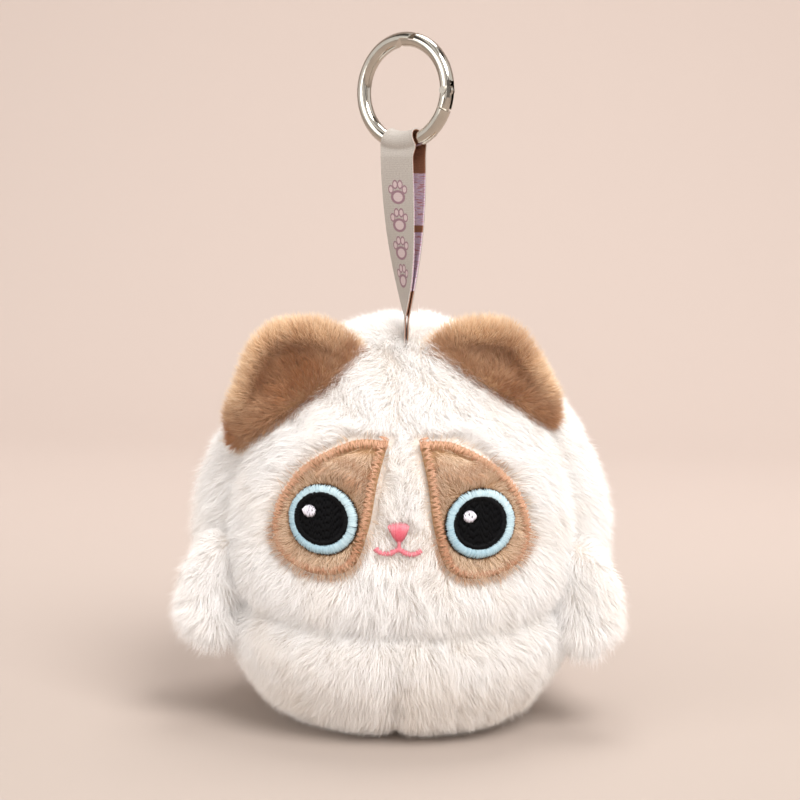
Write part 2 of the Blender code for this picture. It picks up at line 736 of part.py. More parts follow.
def make_arc(carried_by):
    """The fixed part of the ring, with a lip over the gate's tip and a tang in its heel."""
    arc = part("ring_arc", arc_mesh("ring_arc", GATE_SPAN[1] + CUT_GAP, ARC_END - CUT_GAP / 2),
               "nickel")
    boolean(arc, ring_sector("lap_of_arc", GATE_SPAN[1] - CUT_PAST, LAP_END + CUT_GAP / 2,
                             RING_RADIUS - INSIDE_OR_OUT, RING_RADIUS + HALF_GAP, TALL))
    boolean(arc, ring_prism("tip_swing", tip_swing(), TALL))
    boolean(arc, ring_prism("shoulder_swing", shoulder_swing(), TALL))
    tang = ring_sector("tang", *TANG_SPAN, RING_RADIUS - TANG_REACH, RING_RADIUS + TANG_REACH,
                       TANG_THICKNESS)
    boolean(arc, tang, "UNION")
    boolean(arc, cutter("tang_eye", on_pin("tang_eye", TANG_EYE_RADIUS, TANG_THICKNESS)), "UNION")
    boolean(arc, cutter("tang_hole", on_pin("tang_hole", PIN_RADIUS + GAP, TALL)))
    hang(arc, carried_by)


def make_gate(carried_by):
    gate = part("ring_gate", arc_mesh("ring_gate", GATE_SPAN[0] + CUT_GAP / 2, LAP_END - CUT_GAP / 2),
                "nickel")
    boolean(gate, ring_sector("lap_of_gate", GATE_SPAN[1], LAP_END + CUT_PAST,
                              RING_RADIUS - HALF_GAP, RING_RADIUS + INSIDE_OR_OUT, TALL))
    boolean(gate, ring_sector("heel_slot", GATE_SPAN[0] - CUT_PAST, SLOT_END,
                              RING_RADIUS - INSIDE_OR_OUT, RING_RADIUS + INSIDE_OR_OUT, SLOT_WIDTH))
    boolean(gate, cutter("pin_hole", on_pin("pin_hole", PIN_RADIUS + GAP, TALL)))
    bore = cylinder_mesh("spring_bore", BORE_RADIUS, BORE_LENGTH + 2 * BORE_OPENING, 12)
    bore.transform(spring_placement() @ Matrix.Translation((0, 0, BORE_LENGTH / 2)))
    boolean(gate, cutter("spring_bore", bore))
    hang(gate, carried_by)


def spring_placement():
    """The bore starts at the slot's end and runs straight on inside the gate."""
    start = ring_place(SLOT_END)
    turn = math.radians(SLOT_END + BORE_TURN)
    across, front = ring_axes()
    along = -math.sin(turn) * across + math.cos(turn) * Vector((0, 0, 1))
    return facing(front.cross(along).normalized(), front, along, start)


def make_pin(carried_by):
    """Rivet with a flat head on each face of the wire."""
    shank = part("hinge_pin", on_pin("hinge_pin", PIN_RADIUS, 2 * WIRE_RADIUS), "nickel")
    shift = WIRE_RADIUS - PIN_HEAD_SUNK + PIN_HEAD_HEIGHT / 2
    for label, sign in (("front", 1), ("back", -1)):
        head = cutter(f"pin_head_{label}",
                      on_pin(f"pin_head_{label}", PIN_HEAD_RADIUS, PIN_HEAD_HEIGHT, sign * shift))
        boolean(shank, head, "UNION")
    hang(shank, carried_by)


def make_spring(carried_by):
    room = BORE_LENGTH - sum(SPRING_ROOM)
    placement = spring_placement()
    points = []
    for i in range(SPRING_TURNS * SPRING_STEPS + 1):
        turn = 2 * math.pi * i / SPRING_STEPS
        rise = SPRING_ROOM[0] + room * i / (SPRING_TURNS * SPRING_STEPS)
        points.append(placement @ Vector((SPRING_RADIUS * math.cos(turn),
                                          SPRING_RADIUS * math.sin(turn), rise)))
    spring = part("gate_spring", tube_mesh("gate_spring", points, SPRING_WIRE, 1), "spring_steel")
    hang(spring, carried_by)


def shade():
    for piece in collection(COLLECTION).objects:
        if piece.type == "MESH":
            piece.data.shade_smooth()
            piece.data.set_sharp_from_angle(angle=math.radians(40))


def build():
    clear_scene()
    make_panels()
    make_stuffing()
    make_face()
    make_ears()
    make_paws()
    across, front = ring_axes()
    lean = pivot("strap_lean_pivot", Vector((0, SEAM_Y, LEAN_AXIS_Z)), (0, 1, 0))
    swing = pivot("ring_swing_pivot", ring_place(270), across, lean)
    slide = pivot("ring_slide_pivot", RING_CENTRE, front, swing)
    gate_hinge = pivot("gate_pivot", ring_place(PIN_ANGLE), front, slide)
    make_ribbon(lean, swing)
    make_arc(slide)
    make_pin(slide)
    make_gate(gate_hinge)
    make_spring(gate_hinge)
    shade()


build()
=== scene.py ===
"""Plush cat keychain, its looks: the pile, the embroidered face, the woven ribbon and the
nickel ring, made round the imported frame.

Metres, +Z up. The cat sits at the origin and looks along -Y, so its left side is at -X.
"""

import json
import math

import bmesh
import bpy
import numpy as np
from mathutils import Matrix, Vector
from mathutils.bvhtree import BVHTree


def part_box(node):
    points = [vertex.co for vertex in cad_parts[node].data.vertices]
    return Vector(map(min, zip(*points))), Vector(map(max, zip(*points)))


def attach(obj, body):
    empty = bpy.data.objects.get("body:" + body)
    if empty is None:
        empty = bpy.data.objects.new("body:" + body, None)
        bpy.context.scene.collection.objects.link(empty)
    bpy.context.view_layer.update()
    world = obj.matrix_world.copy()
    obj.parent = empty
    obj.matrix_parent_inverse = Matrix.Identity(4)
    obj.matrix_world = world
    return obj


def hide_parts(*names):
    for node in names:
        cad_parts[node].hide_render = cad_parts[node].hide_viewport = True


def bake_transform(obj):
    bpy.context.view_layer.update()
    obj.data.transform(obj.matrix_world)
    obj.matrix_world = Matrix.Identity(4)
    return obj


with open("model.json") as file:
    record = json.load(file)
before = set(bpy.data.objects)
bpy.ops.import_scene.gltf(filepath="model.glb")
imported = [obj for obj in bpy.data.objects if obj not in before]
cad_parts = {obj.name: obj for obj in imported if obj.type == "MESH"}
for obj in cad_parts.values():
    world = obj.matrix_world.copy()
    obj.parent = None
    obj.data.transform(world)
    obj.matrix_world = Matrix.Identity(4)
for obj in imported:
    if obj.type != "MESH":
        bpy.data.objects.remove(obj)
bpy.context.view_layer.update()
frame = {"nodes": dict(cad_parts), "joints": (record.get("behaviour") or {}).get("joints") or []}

MM = 0.001
SIDES = {"left": -1, "right": 1}
JOINTS = {joint["name"]: joint for joint in frame["joints"]}

# Seams of the body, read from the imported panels.
SEAM_Y = (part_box("face_panel_left")[1].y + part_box("back_panel_left")[0].y) / 2
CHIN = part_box("belly_panel_left")[1].z
BELLY_REAR = 20 * MM

# Pile: strand lengths and how many to a square millimetre.
PILE_DEPTH = 3.6 * MM          # from the puffed backing to the outside of the body's pile
PUFF_ROOM = 1.2 * MM            # left for the backing to puff up into
WHITE_LENGTH = 6.6 * MM
TAN_LENGTH = 4.4 * MM
PATCH_LENGTH = 3.4 * MM
STRAND_WIDTH = 0.09 * MM
STRANDS_IN_A_PIECE = 64000      # at three triangles each
BODY_DENSITY = 13.5
EAR_DENSITY = 20.0
PATCH_DENSITY = 22.0

# Face, in X and Z, projected along Y on to the backing. X is for the right side.
PATCH_OUTLINE = [(4.0, 77.3), (4.6, 78.0), (13, 77.4), (24.6, 70.4), (30.8, 59.4),
                 (29.4, 49.6), (20.8, 45.4), (11.8, 47.4), (8.0, 57), (6.2, 68)]
GLINT_OFFSET = (-2.9 * MM, 1.8 * MM)
GLINT_RADIUS = 1.45 * MM
PUPIL_OFFSET = (-0.35 * MM, 0.3 * MM)
NOSE_OUTLINE = [(-3.4, 57.8), (-2.7, 58.9), (-0.6, 59.2), (1.5, 58.9), (2.2, 57.8), (1.4, 55.7),
                (0.1, 54.3), (-1.3, 54.3), (-2.6, 55.7)]
MOUTH_LINE = [(-6.1, 52.6), (-4.6, 51.6), (-2.6, 51.7), (-0.9, 52.6), (-0.3, 52.6), (1.4, 51.7),
              (3.4, 51.6), (4.9, 52.6)]
MOUTH_MIDDLE = -0.6 * MM
iris_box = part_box("iris_right")
EYE = ((iris_box[0].x + iris_box[1].x) / 2, (iris_box[0].z + iris_box[1].z) / 2)
IRIS_RADIUS = (iris_box[1].x - iris_box[0].x) / 2
PUPIL_RADIUS = (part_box("pupil_right")[1].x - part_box("pupil_right")[0].x) / 2
STITCH_PITCH = 1.2 * MM
STITCH_DEPTH = 2.3 * MM
THREAD_SIDES = 6
PATCH_LIFT = 1.3 * MM          # heights over the cover's backing
EYE_LIFT = 2.4 * MM
NOSE_LIFT = 2.2 * MM

# Ears, along the base line and up from it, from the inner corner to the outer one.
EAR_OUTLINE = [(-20, -5.5), (-22.5, 0), (-21.5, 5), (-17, 11.5), (-9.5, 16), (-3.5, 16.6),
               (2.5, 13.8), (9.5, 8.5), (16, 4.5), (19.5, 0), (19, -5)]
EAR_SCALE = {"left": (1.10, 1.07), "right": (1.02, 0.87)}
EAR_UP = Vector((0.42, 0.10, 0.90))
EAR_AXIS_LIFT = 1.0 * MM
EAR_BULGE = 9.0 * MM           # how far the ear stands forward of its base's chord, at its foot
EAR_BULGE_LOSS = 3.5 * MM      # of that, lost by its top
EAR_THICK = 5.0 * MM           # backing to backing, without the pile
EAR_DISH = 1.6 * MM            # how far its front is hollowed inside the rim
EAR_SHRINK = 0.84              # the backing against the outline of ear and pile together

# Paws, in X and Z for the right side.
PAW_OUTLINE = [(42, 53), (49, 51.5), (54, 44), (56.8, 35.5), (56.5, 28), (51, 22), (45, 21.5),
               (41, 28), (40, 40)]
PAW_THICK = 6.0 * MM

# Ribbon and ring.
RING_CENTRE = np.array(JOINTS["ring_slide"]["pos_m"])
RING_FRONT = np.array(JOINTS["ring_slide"]["axis"])
RING_ACROSS = np.array([-RING_FRONT[1], RING_FRONT[0], 0.0])
RING_RADIUS = 13.1 * MM
WIRE_RADIUS = 1.9 * MM
RING_TURN = math.radians(36)
RIBBON_WIDTH = 10.0 * MM
RIBBON_THICKNESS = 0.44 * MM
RIBBON_PITCH = 0.45 * MM       # from the middle to each layer, where the layers lie together
RIBBON_SPREAD = 2.75 * MM      # the same under the wire, and round it
RIBBON_END = 94 * MM            # the cut ends, inside the crown
RIBBON_FOOT = 107.6 * MM
RIBBON_HEAD = RING_CENTRE[2] - RING_RADIUS - 3.4 * MM
RIB_PITCH = 0.45 * MM
RIB_HEIGHT = 0.035 * MM
BEAD_HEIGHT = 0.07 * MM         # of the loops along the ribbon's edges
PRINT_PITCH = 7.2              # millimetres from one woven paw print to the next
PRINT_PADS = [(-1.2, 0.0, 1.5, 1.95), (0.75, -2.2, 0.95, 0.72), (2.0, -0.8, 1.0, 0.72),
              (2.0, 0.8, 1.0, 0.72), (0.75, 2.2, 0.95, 0.72)]


# ---- meshes --------------------------------------------------------------------------

def only(piece):
    """Makes piece the one selected, active object."""
    bpy.ops.object.select_all(action="DESELECT")
    piece.select_set(True)
    bpy.context.view_layer.objects.active = piece
    return piece


def applied(piece, kind, **settings):
    """Adds a modifier with its settings and applies it."""
    only(piece)
    modifier = piece.modifiers.new(kind.lower(), kind)
    for key, value in settings.items():
        setattr(modifier, key, value)
    bpy.ops.object.modifier_apply(modifier=modifier.name)
    return piece


def points_of(piece):
    flat = np.empty(len(piece.data.vertices) * 3, np.float32)
    piece.data.vertices.foreach_get("co", flat)
    return flat.reshape(-1, 3).astype(float)


def normals_of(piece):
    flat = np.empty(len(piece.data.vertices) * 3, np.float32)
    piece.data.vertex_normals.foreach_get("vector", flat)
    return flat.reshape(-1, 3).astype(float)


def set_points(piece, points):
    piece.data.vertices.foreach_set("co", points.astype(np.float32).ravel())
    piece.data.update()


def mesh_piece(name, mesh, material):
    piece = bpy.data.objects.new(name, mesh)
    bpy.context.scene.collection.objects.link(piece)
    if material:
        mesh.materials.append(material)
    return piece


def array_mesh(name, points, faces):
    """A mesh from arrays of points and of faces that all have as many corners."""
    mesh = bpy.data.meshes.new(name)
    mesh.vertices.add(len(points))
    mesh.vertices.foreach_set("co", points.astype(np.float32).ravel())
    mesh.loops.add(faces.size)
    mesh.loops.foreach_set("vertex_index", faces.astype(np.int32).ravel())
    mesh.polygons.add(len(faces))
    mesh.polygons.foreach_set("loop_start", np.arange(0, faces.size, faces.shape[1], dtype=np.int32))
    mesh.update(calc_edges=True)
    return mesh


def placed(piece, body, slot, *nodes):
    """Ties a piece to its body, and hides the CAD nodes that it stands in for; slot is not used."""
    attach(piece, body)
    if nodes:
        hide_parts(*nodes)


def give(mesh, name, values):
    """Stores one number for each point under a name that the finishes read."""
    mesh.attributes.new(name, "FLOAT", "POINT").data.foreach_set("value",
                                                                 values.astype(np.float32))


def copied(name, node):
    """A new piece with the merged mesh of a CAD node."""
    shape = bmesh.new()
    shape.from_mesh(frame["nodes"][node].data)
    bmesh.ops.remove_doubles(shape, verts=shape.verts, dist=0.001 * MM)
    mesh = bpy.data.meshes.new(name)
    shape.to_mesh(mesh)
    shape.free()
    mesh.materials.clear()
    return mesh_piece(name, mesh, None)


def unit(vectors):
    return vectors / np.maximum(np.linalg.norm(vectors, axis=1, keepdims=True), 1e-9)


def smoothstep(low, high, values):
    t = np.clip((values - low) / (high - low), 0.0, 1.0)
    return t * t * (3 - 2 * t)


def waves(points, wavelength, seed, count=14):
    """Smooth noise of about -1 to 1 at the points, and its direction of steepest rise."""
    rng = np.random.default_rng(seed)
    heading = unit(rng.normal(size=(count, 3)))
    heading *= (2 * math.pi / wavelength * rng.uniform(0.6, 1.5, count))[:, None]
    phase = points @ heading.T + rng.uniform(0, 2 * math.pi, count)
    value = np.sin(phase).sum(1) / math.sqrt(count / 2)
    rise = np.cos(phase) @ heading * wavelength / (2 * math.pi) / math.sqrt(count / 2)
    return value, rise


def inflate(piece, held, pressure, cap):
    """Puffs a closed piece up by cloth simulation, by no more than cap; held is each point's
    grip, from 0 to 1."""
    before = points_of(piece)
    group = piece.vertex_groups.new(name="sewn")
    for index, weight in enumerate(held):
        group.add([index], float(weight), "REPLACE")
    only(piece)
    modifier = piece.modifiers.new("puff", "CLOTH")
    settings = modifier.settings
    settings.quality = 6
    settings.use_pressure = True
    settings.uniform_pressure_force = pressure
    settings.effector_weights.gravity = 0.0
    settings.vertex_group_mass = group.name
    for number in range(1, 21):
        bpy.context.scene.frame_set(number)
    bpy.ops.object.modifier_apply(modifier=modifier.name)
    bpy.context.scene.frame_set(1)
    piece.vertex_groups.clear()
    moved = points_of(piece) - before
    far = np.linalg.norm(moved, axis=1, keepdims=True)
    set_points(piece, before + moved * np.minimum(1.0, cap / np.maximum(far, 1e-9)))


# ---- shader maths --------------------------------------------------------------------

class Value:
    """A shader socket that takes Python's operators."""

    def __init__(self, finish, socket):
        self.finish = finish
        self.socket = socket

    def math(self, operation, *others):
        return self.finish.node("ShaderNodeMath", {"operation": operation},
                                dict(enumerate((self, *others))))

    def __add__(self, other):
        return self.math("ADD", other)

    def __sub__(self, other):
        return self.math("SUBTRACT", other)

    def __mul__(self, other):
        return self.math("MULTIPLY", other)

    def __truediv__(self, other):
        return self.math("DIVIDE", other)

    def __pow__(self, other):
        return self.math("POWER", other)

    def __rsub__(self, other):
        return self.finish.node("ShaderNodeMath", {"operation": "SUBTRACT"}, {0: other, 1: self})

    def __rtruediv__(self, other):
        return self.finish.node("ShaderNodeMath", {"operation": "DIVIDE"}, {0: other, 1: self})

    __radd__ = __add__
    __rmul__ = __mul__


class Finish:
    """A material and the nodes that lead to its Principled shader."""

    def __init__(self, name, roughness=0.6, **constants):
        self.material = bpy.data.materials.new(name)
        self.material.use_nodes = True
        self.tree = self.material.node_tree
        self.shader = self.tree.nodes["Principled BSDF"]
        self.shader.inputs["Roughness"].default_value = roughness
        for key, value in constants.items():
            self.shader.inputs[key.replace("_", " ")].default_value = value

    def plug(self, value, socket):
        if isinstance(value, Value):
            self.tree.links.new(value.socket, socket)
        elif value is not None:
            socket.default_value = value

    def node(self, kind, settings=None, inputs=None, output=0):
        """A node of any kind, with its settings made first and its sockets filled after."""
        made = self.tree.nodes.new(kind)
        for key, value in (settings or {}).items():
            if key == "stops":
                ramp = made.color_ramp.elements
                while len(ramp) < len(value):
                    ramp.new(1.0)
                for element, (place, colour) in zip(ramp, value):
                    element.position = place
                    element.color = colour
            else:
                setattr(made, key, value)
        for key, value in (inputs or {}).items():
            self.plug(value, made.inputs[key])
        return Value(self, made.outputs[output])

    def place(self):
        """Object coordinates."""
        return self.node("ShaderNodeTexCoord", output="Object")

    def attribute(self, name):
        return self.node("ShaderNodeAttribute", {"attribute_name": name}, output="Fac")

    def noise(self, scale, detail=2.0, vector=None, distortion=0.0):
        return self.node("ShaderNodeTexNoise", {"noise_dimensions": "3D"},
                         {"Vector": vector or self.place(), "Scale": scale, "Detail": detail,
                          "Distortion": distortion})

    def ramp(self, value, stops):
        return self.node("ShaderNodeValToRGB", {"stops": stops}, {"Fac": value})

    def between(self, value, low, high):
        """0 where value is under low, 1 over high, and smooth between them."""
        return self.node("ShaderNodeMapRange", {"interpolation_type": "SMOOTHSTEP"},
                         {"Value": value, "From Min": low, "From Max": high})

    def mix(self, factor, first, second):
        """A colour between two colours."""
        return self.node("ShaderNodeMix", {"data_type": "RGBA"}, {0: factor, 6: first, 7: second},
                         output=2)

    def colour(self, value):
        self.plug(value, self.shader.inputs["Base Color"])

    def rough(self, value):
        self.plug(value, self.shader.inputs["Roughness"])

    def bump(self, height, strength, distance):
        normal = self.node("ShaderNodeBump", None,
                           {"Strength": strength, "Distance": distance, "Height": height})
        self.plug(normal, self.shader.inputs["Normal"])


def rgb(red, green, blue):
    return (red, green, blue, 1.0)


def pile_finish(name, root, middle, tip, patches_and_shade, glow=0.0):
    """Fur fibre: coloured from root to tip, and towards a second colour in broad patches and by
    each strand's own share; callers also use that share for painted shade. A faint glow, painted
    light, stands for light that has crossed the fibres."""
    finish = Finish(name, roughness=0.8, Sheen_Weight=0.2, Sheen_Roughness=0.5,
                    Emission_Color=tip, Emission_Strength=glow)
    fibre = finish.ramp(finish.attribute("along"), [(0.0, root), (0.45, middle), (1.0, tip)])
    broad = finish.between(finish.noise(60.0, 3.0), 0.42, 0.66)
    finish.colour(finish.mix(broad * 0.25 + finish.attribute("tint") * 0.75, fibre, patches_and_shade))
    return finish.material


def backing_finish(name, light, dark):
    """Knitted backing cloth under the pile."""
    finish = Finish(name, roughness=0.95)
    knit = finish.noise(1400.0, 2.0)
    finish.colour(finish.mix(finish.between(knit, 0.35, 0.65), light, dark))
    finish.bump(knit, 0.4, 0.2 * MM)
    return finish.material


def thread_finish(name, light, dark, specular=0.5):
    """Rayon embroidery thread: satin, with each thread a little lighter or darker."""
    finish = Finish(name, roughness=0.4, Specular_IOR_Level=specular)
    tint = finish.attribute("tint")
    fine = finish.noise(5200.0, 2.0)
    finish.colour(finish.mix(tint * 0.7 + finish.between(fine, 0.4, 0.62) * 0.3, light, dark))
    finish.rough(0.32 + fine * 0.25)
    return finish.material


# ---- camera, floor, light ------------------------------------------------------------

def place_camera():
    """A long lens a little above the cat, rolled a little to one side."""
    target = Vector((-1.2, -15.0, 86.2)) * MM
    distance = 491.1 * MM
    height = math.radians(6.0)
    roll = math.radians(1.5)
    back = Vector((0, -math.cos(height), math.sin(height)))
    level = Vector((1, 0, 0))
    upright = back.cross(level)
    right = math.cos(roll) * level + math.sin(roll) * upright
    up = back.cross(right)
    bpy.ops.object.camera_add()
    camera = bpy.context.object
    camera.matrix_world = Matrix((right, up, back)).transposed().to_4x4()
    camera.location = target + distance * back
    camera.data.lens = 85
    camera.data.sensor_width = 36
    camera.data.clip_start = 0.01
    bpy.context.scene.camera = camera


def make_backdrop():
    """A floor that rises behind the cat in one wide curve, darker towards the front."""
    front, rear, bend, top, half_width = -1.6, 0.55, 0.5, 2.6, 2.4
    profile = [(front, 0.0), (rear, 0.0)]
    profile += [(rear + bend * math.sin(a), bend - bend * math.cos(a))
                for a in np.linspace(0, math.pi / 2, 17)[1:]]
    profile.append((rear + bend, top))
    points = np.array([[x, y, z] for y, z in profile for x in (-half_width, half_width)])
    faces = np.array([[2 * i, 2 * i + 1, 2 * i + 3, 2 * i + 2] for i in range(len(profile) - 1)])
    finish = Finish("floor_paper", roughness=0.9)
    depth = finish.node("ShaderNodeSeparateXYZ", None, {"Vector": finish.place()}, output="Y")
    level = finish.between(depth, -0.35, 0.6)
    paper = finish.mix(level, rgb(0.36, 0.305, 0.265), rgb(0.60, 0.50, 0.445))
    finish.colour(finish.mix(finish.noise(9.0, 3.0) * 0.12, paper, rgb(0.62, 0.50, 0.45)))
    floor = mesh_piece("studio_floor", array_mesh("studio_floor", points, faces), finish.material)
    floor.data.shade_smooth()


def soft_light(name, place, target, size, power, colour):
    """A round softbox that looks at target."""
    bpy.ops.object.light_add(type="AREA", location=place)
    lamp = bpy.context.object
    lamp.name = name
    lamp.data.shape = "DISK"
    lamp.data.size = size
    lamp.data.energy = power
    lamp.data.color = colour
    lamp.rotation_euler = (Vector(target) - Vector(place)).to_track_quat("-Z", "Y").to_euler()


def light_studio():
    """Three soft lamps and a pale room with a few dark stripes for the ring to mirror."""
    middle = (0.0, 0.0, 0.07)
    soft_light("key_softbox", (0.42, -0.72, 0.92), middle, 0.7, 14.6, (1.0, 0.985, 0.975))
    soft_light("fill_softbox", (-0.8, -0.7, 0.45), middle, 0.8, 4.5, (1.0, 0.98, 0.965))
    soft_light("top_softbox", (0.1, 0.25, 1.1), middle, 0.6, 6.0, (1.0, 0.99, 0.98))
    bpy.context.scene.view_settings.view_transform = "Standard"
    world = bpy.data.worlds.new("studio")
    world.use_nodes = True
    nodes, links = world.node_tree.nodes, world.node_tree.links
    way = nodes.new("ShaderNodeTexCoord")
    parts = nodes.new("ShaderNodeSeparateXYZ")
    bands = nodes.new("ShaderNodeValToRGB")
    shift = nodes.new("ShaderNodeMapRange")
    shift.inputs["From Min"].default_value = -1.0
    stripes = bands.color_ramp.elements
    pale, dark = (1.0, 0.975, 0.955, 1.0), (0.10, 0.09, 0.085, 1.0)
    stops = [(0.0, pale), (0.10, pale), (0.13, dark), (0.27, dark), (0.30, pale), (0.46, pale),
             (0.48, dark), (0.53, dark), (0.55, pale), (0.66, pale), (0.69, dark), (0.80, dark),
             (0.83, pale)]
    while len(stripes) < len(stops):
        stripes.new(1.0)
    for element, (place, colour) in zip(stripes, stops):
        element.position = place
        element.color = colour
    links.new(way.outputs["Generated"], parts.inputs["Vector"])
    links.new(parts.outputs["X"], shift.inputs["Value"])
    links.new(shift.outputs["Result"], bands.inputs["Fac"])
    links.new(bands.outputs["Color"], nodes["Background"].inputs["Color"])
    nodes["Background"].inputs["Strength"].default_value = 1.0
    bpy.context.scene.world = world


# ---- pile ----------------------------------------------------------------------------

class Skin:
    """A piece's surface as arrays, to plant strands on."""

    def __init__(self, piece):
        piece.data.calc_loop_triangles()
        triangles = np.empty(len(piece.data.loop_triangles) * 3, np.int32)
        piece.data.loop_triangles.foreach_get("vertices", triangles)
        self.triangles = triangles.reshape(-1, 3)
        self.points = points_of(piece)
        self.normals = normals_of(piece)
        corners = self.points[self.triangles]
        self.areas = 0.5 * np.linalg.norm(
            np.cross(corners[:, 1] - corners[:, 0], corners[:, 2] - corners[:, 0]), axis=1)

    def sample(self, density, seed):
        """Roots and their normals, so many to the square millimetre."""
        rng = np.random.default_rng(seed)
        count = int(self.areas.sum() / MM ** 2 * density)
        chosen = rng.choice(len(self.areas), count, p=self.areas / self.areas.sum())
        a, b = rng.uniform(size=(2, count))
        flip = a + b > 1
        a[flip], b[flip] = 1 - a[flip], 1 - b[flip]
        share = np.stack([1 - a - b, a, b], axis=1)[:, :, None]
        corners = self.triangles[chosen]
        return (self.points[corners] * share).sum(1), unit((self.normals[corners] * share).sum(1))


def tangent(vectors, normals):
    """The vectors laid down in the surface."""
    return unit(vectors - (vectors * normals).sum(1, keepdims=True) * normals)


def strands(name, roots, normals, comb, length, rise, material, seed, width=STRAND_WIDTH,
            stray=0.22, clump=0.5 * MM, floor=0.25 * MM, tint=0.0):
    """Tapered blades with a bend in them. comb is the way they lie, rise the angles from the
    backing, in degrees, of their lower and upper halves, and tint their share of the
    finish's second colour."""
    rng = np.random.default_rng(seed)
    count = len(roots)
    across = np.cross(normals, comb)
    comb = unit(comb + across * rng.normal(0, stray, count)[:, None]
                + across * (0.35 * waves(roots, 9 * MM, seed + 1)[0])[:, None])
    low = np.radians(np.clip(rise[0] + rng.normal(0, 9, count), 15, 88))[:, None]
    high = np.radians(np.clip(rise[1] + rng.normal(0, 13, count), 2, 88))[:, None]
    length = (length * rng.uniform(0.72, 1.06, count))[:, None]
    gather = tangent(waves(roots, 3.4 * MM, seed + 2)[1], normals)
    gather *= (clump * np.abs(waves(roots, 6 * MM, seed + 3)[0]))[:, None]
    middle = roots + 0.5 * length * (np.sin(low) * normals + np.cos(low) * comb) + 0.3 * gather
    tip = middle + 0.5 * length * (np.sin(high) * normals + np.cos(high) * comb) + 0.7 * gather
    root = roots - 0.3 * MM * normals
    facing = unit(normals + 0.5 * rng.normal(size=(count, 3)))
    flat = unit(np.cross(tip - root, facing)) * (width / 2)
    broad = rng.uniform(0.75, 1.25, count)[:, None]
    points = np.stack([root - flat * broad, root + flat * broad, middle - 0.8 * flat * broad,
                       middle + 0.8 * flat * broad, tip], axis=1).reshape(-1, 3)
    points[:, 2] = np.maximum(points[:, 2], floor)
    first = 5 * np.arange(count)[:, None]
    faces = np.concatenate([first + [0, 1, 3], first + [0, 3, 2], first + [2, 3, 4]])
    mesh = array_mesh(name, points, faces)
    mesh.shade_smooth()
    give(mesh, "along", np.tile([0, 0, 0.5, 0.5, 1.0], count))
    give(mesh, "tint", np.repeat(np.clip(tint + 0.3 * rng.uniform(size=count), 0, 1), 5))
    return mesh_piece(name, mesh, material)


# ---- body ----------------------------------------------------------------------------

def chin_line(x):
    """Height of the crease between face and belly."""
    return CHIN + 4 * MM * (x / (45 * MM)) ** 2


def seam_distances(points):
    """Distance of each point from the centre seam, the side seam, the crease and the rear
    edge of the belly."""
    x, y, z = points.T
    slope = CHIN / (BELLY_REAR - SEAM_Y)
    far = 1.0
    centre = np.abs(x)
    side = np.where(z > CHIN, np.abs(y - SEAM_Y), far)
    crease = np.where(y < SEAM_Y, np.abs(z - chin_line(x)), far)
    rear = np.abs(z - CHIN + slope * (y - SEAM_Y)) / math.hypot(1, slope)
    rear = np.where((z < CHIN + 2 * MM) & (y > SEAM_Y - 2 * MM), rear, far)
    return centre, side, crease, rear


def seam_sinking(points):
    """How deep the cloth is drawn in at each point by the seams round it."""
    centre_depth = np.where(points[:, 2] > CHIN, 0.3 * MM, 1.4 * MM)
    side_depth = (0.2 + 1.6 * smoothstep(16 * MM, 34 * MM, np.abs(points[:, 0]))) * MM
    depths = (centre_depth, side_depth, 3.0 * MM, 1.5 * MM)
    widths = (2.2 * MM, 3.5 * MM, 5.0 * MM, 3.0 * MM)
    return sum(depth * np.exp(-(distance / width) ** 2)
               for distance, depth, width in zip(seam_distances(points), depths, widths))


def settle(points):
    """Peaks the crown a little, most of all in front of the ribbon, and lets the base down to
    the floor. Works in place."""
    x, y, z = points.T
    middle = np.exp(-(x / (13 * MM)) ** 2) * smoothstep(-46 * MM, -28 * MM, y)
    points[:, 2] += (0.4 + 1.4 * middle) * MM * smoothstep(86 * MM, 101 * MM, z)
    points[:, 2] -= 3.5 * MM * smoothstep(14 * MM, 6 * MM, points[:, 2])


def make_cover():
    """The sewn cover's backing: the filling's shape, puffed out between its seams."""
    cover = copied("cover_backing", "stuffing")
    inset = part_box("stuffing")[0].z
    applied(cover, "DISPLACE", strength=inset - PILE_DEPTH - PUFF_ROOM, mid_level=0.0)
    applied(cover, "REMESH", mode="VOXEL", voxel_size=3.6 * MM)
    points = points_of(cover)
    nearest = np.min(seam_distances(points), axis=0)
    at_seams = np.exp(-(nearest / (3.5 * MM)) ** 2)
    on_floor = smoothstep(12 * MM, 7 * MM, points[:, 2])
    inflate(cover, np.maximum(at_seams, on_floor), pressure=4.0, cap=1.6 * MM)
    applied(cover, "SUBSURF", levels=2, render_levels=2)
    points = points_of(cover)
    points -= normals_of(cover) * seam_sinking(points)[:, None]
    settle(points)
    set_points(cover, points)
    cover.data.shade_smooth()
    cover.data.materials.append(backing_finish("white_backing", rgb(0.86, 0.80, 0.74),
                                               rgb(0.78, 0.70, 0.62)))
    placed(cover, "plush", "white_pile")
    return cover


def make_filling():
    """Matted polyester fibre inside the cover."""
    filling = copied("filling", "stuffing")
    applied(filling, "REMESH", mode="VOXEL", voxel_size=3.0 * MM)
    applied(filling, "DISPLACE", strength=-1.0 * MM, mid_level=0.0)
    filling.data.shade_smooth()
    fibre = Finish("filling_fibre", roughness=0.95)
    wisps = fibre.noise(900.0, 4.0, distortion=1.5)
    fibre.colour(fibre.mix(wisps, rgb(0.72, 0.72, 0.72), rgb(0.93, 0.93, 0.92)))
    fibre.bump(wisps, 0.6, 0.4 * MM)
    filling.data.materials.append(fibre.material)
    placed(filling, "plush", "filling", "stuffing")


def curve(before, start, end, after, t):
    """A smooth curve's points from start to end; t runs from 0 to 1 between them."""
    return 0.5 * (2 * start + (end - before) * t
                  + (2 * before - 5 * start + 4 * end - after) * t ** 2
                  + (3 * start - before - 3 * end + after) * t ** 3)


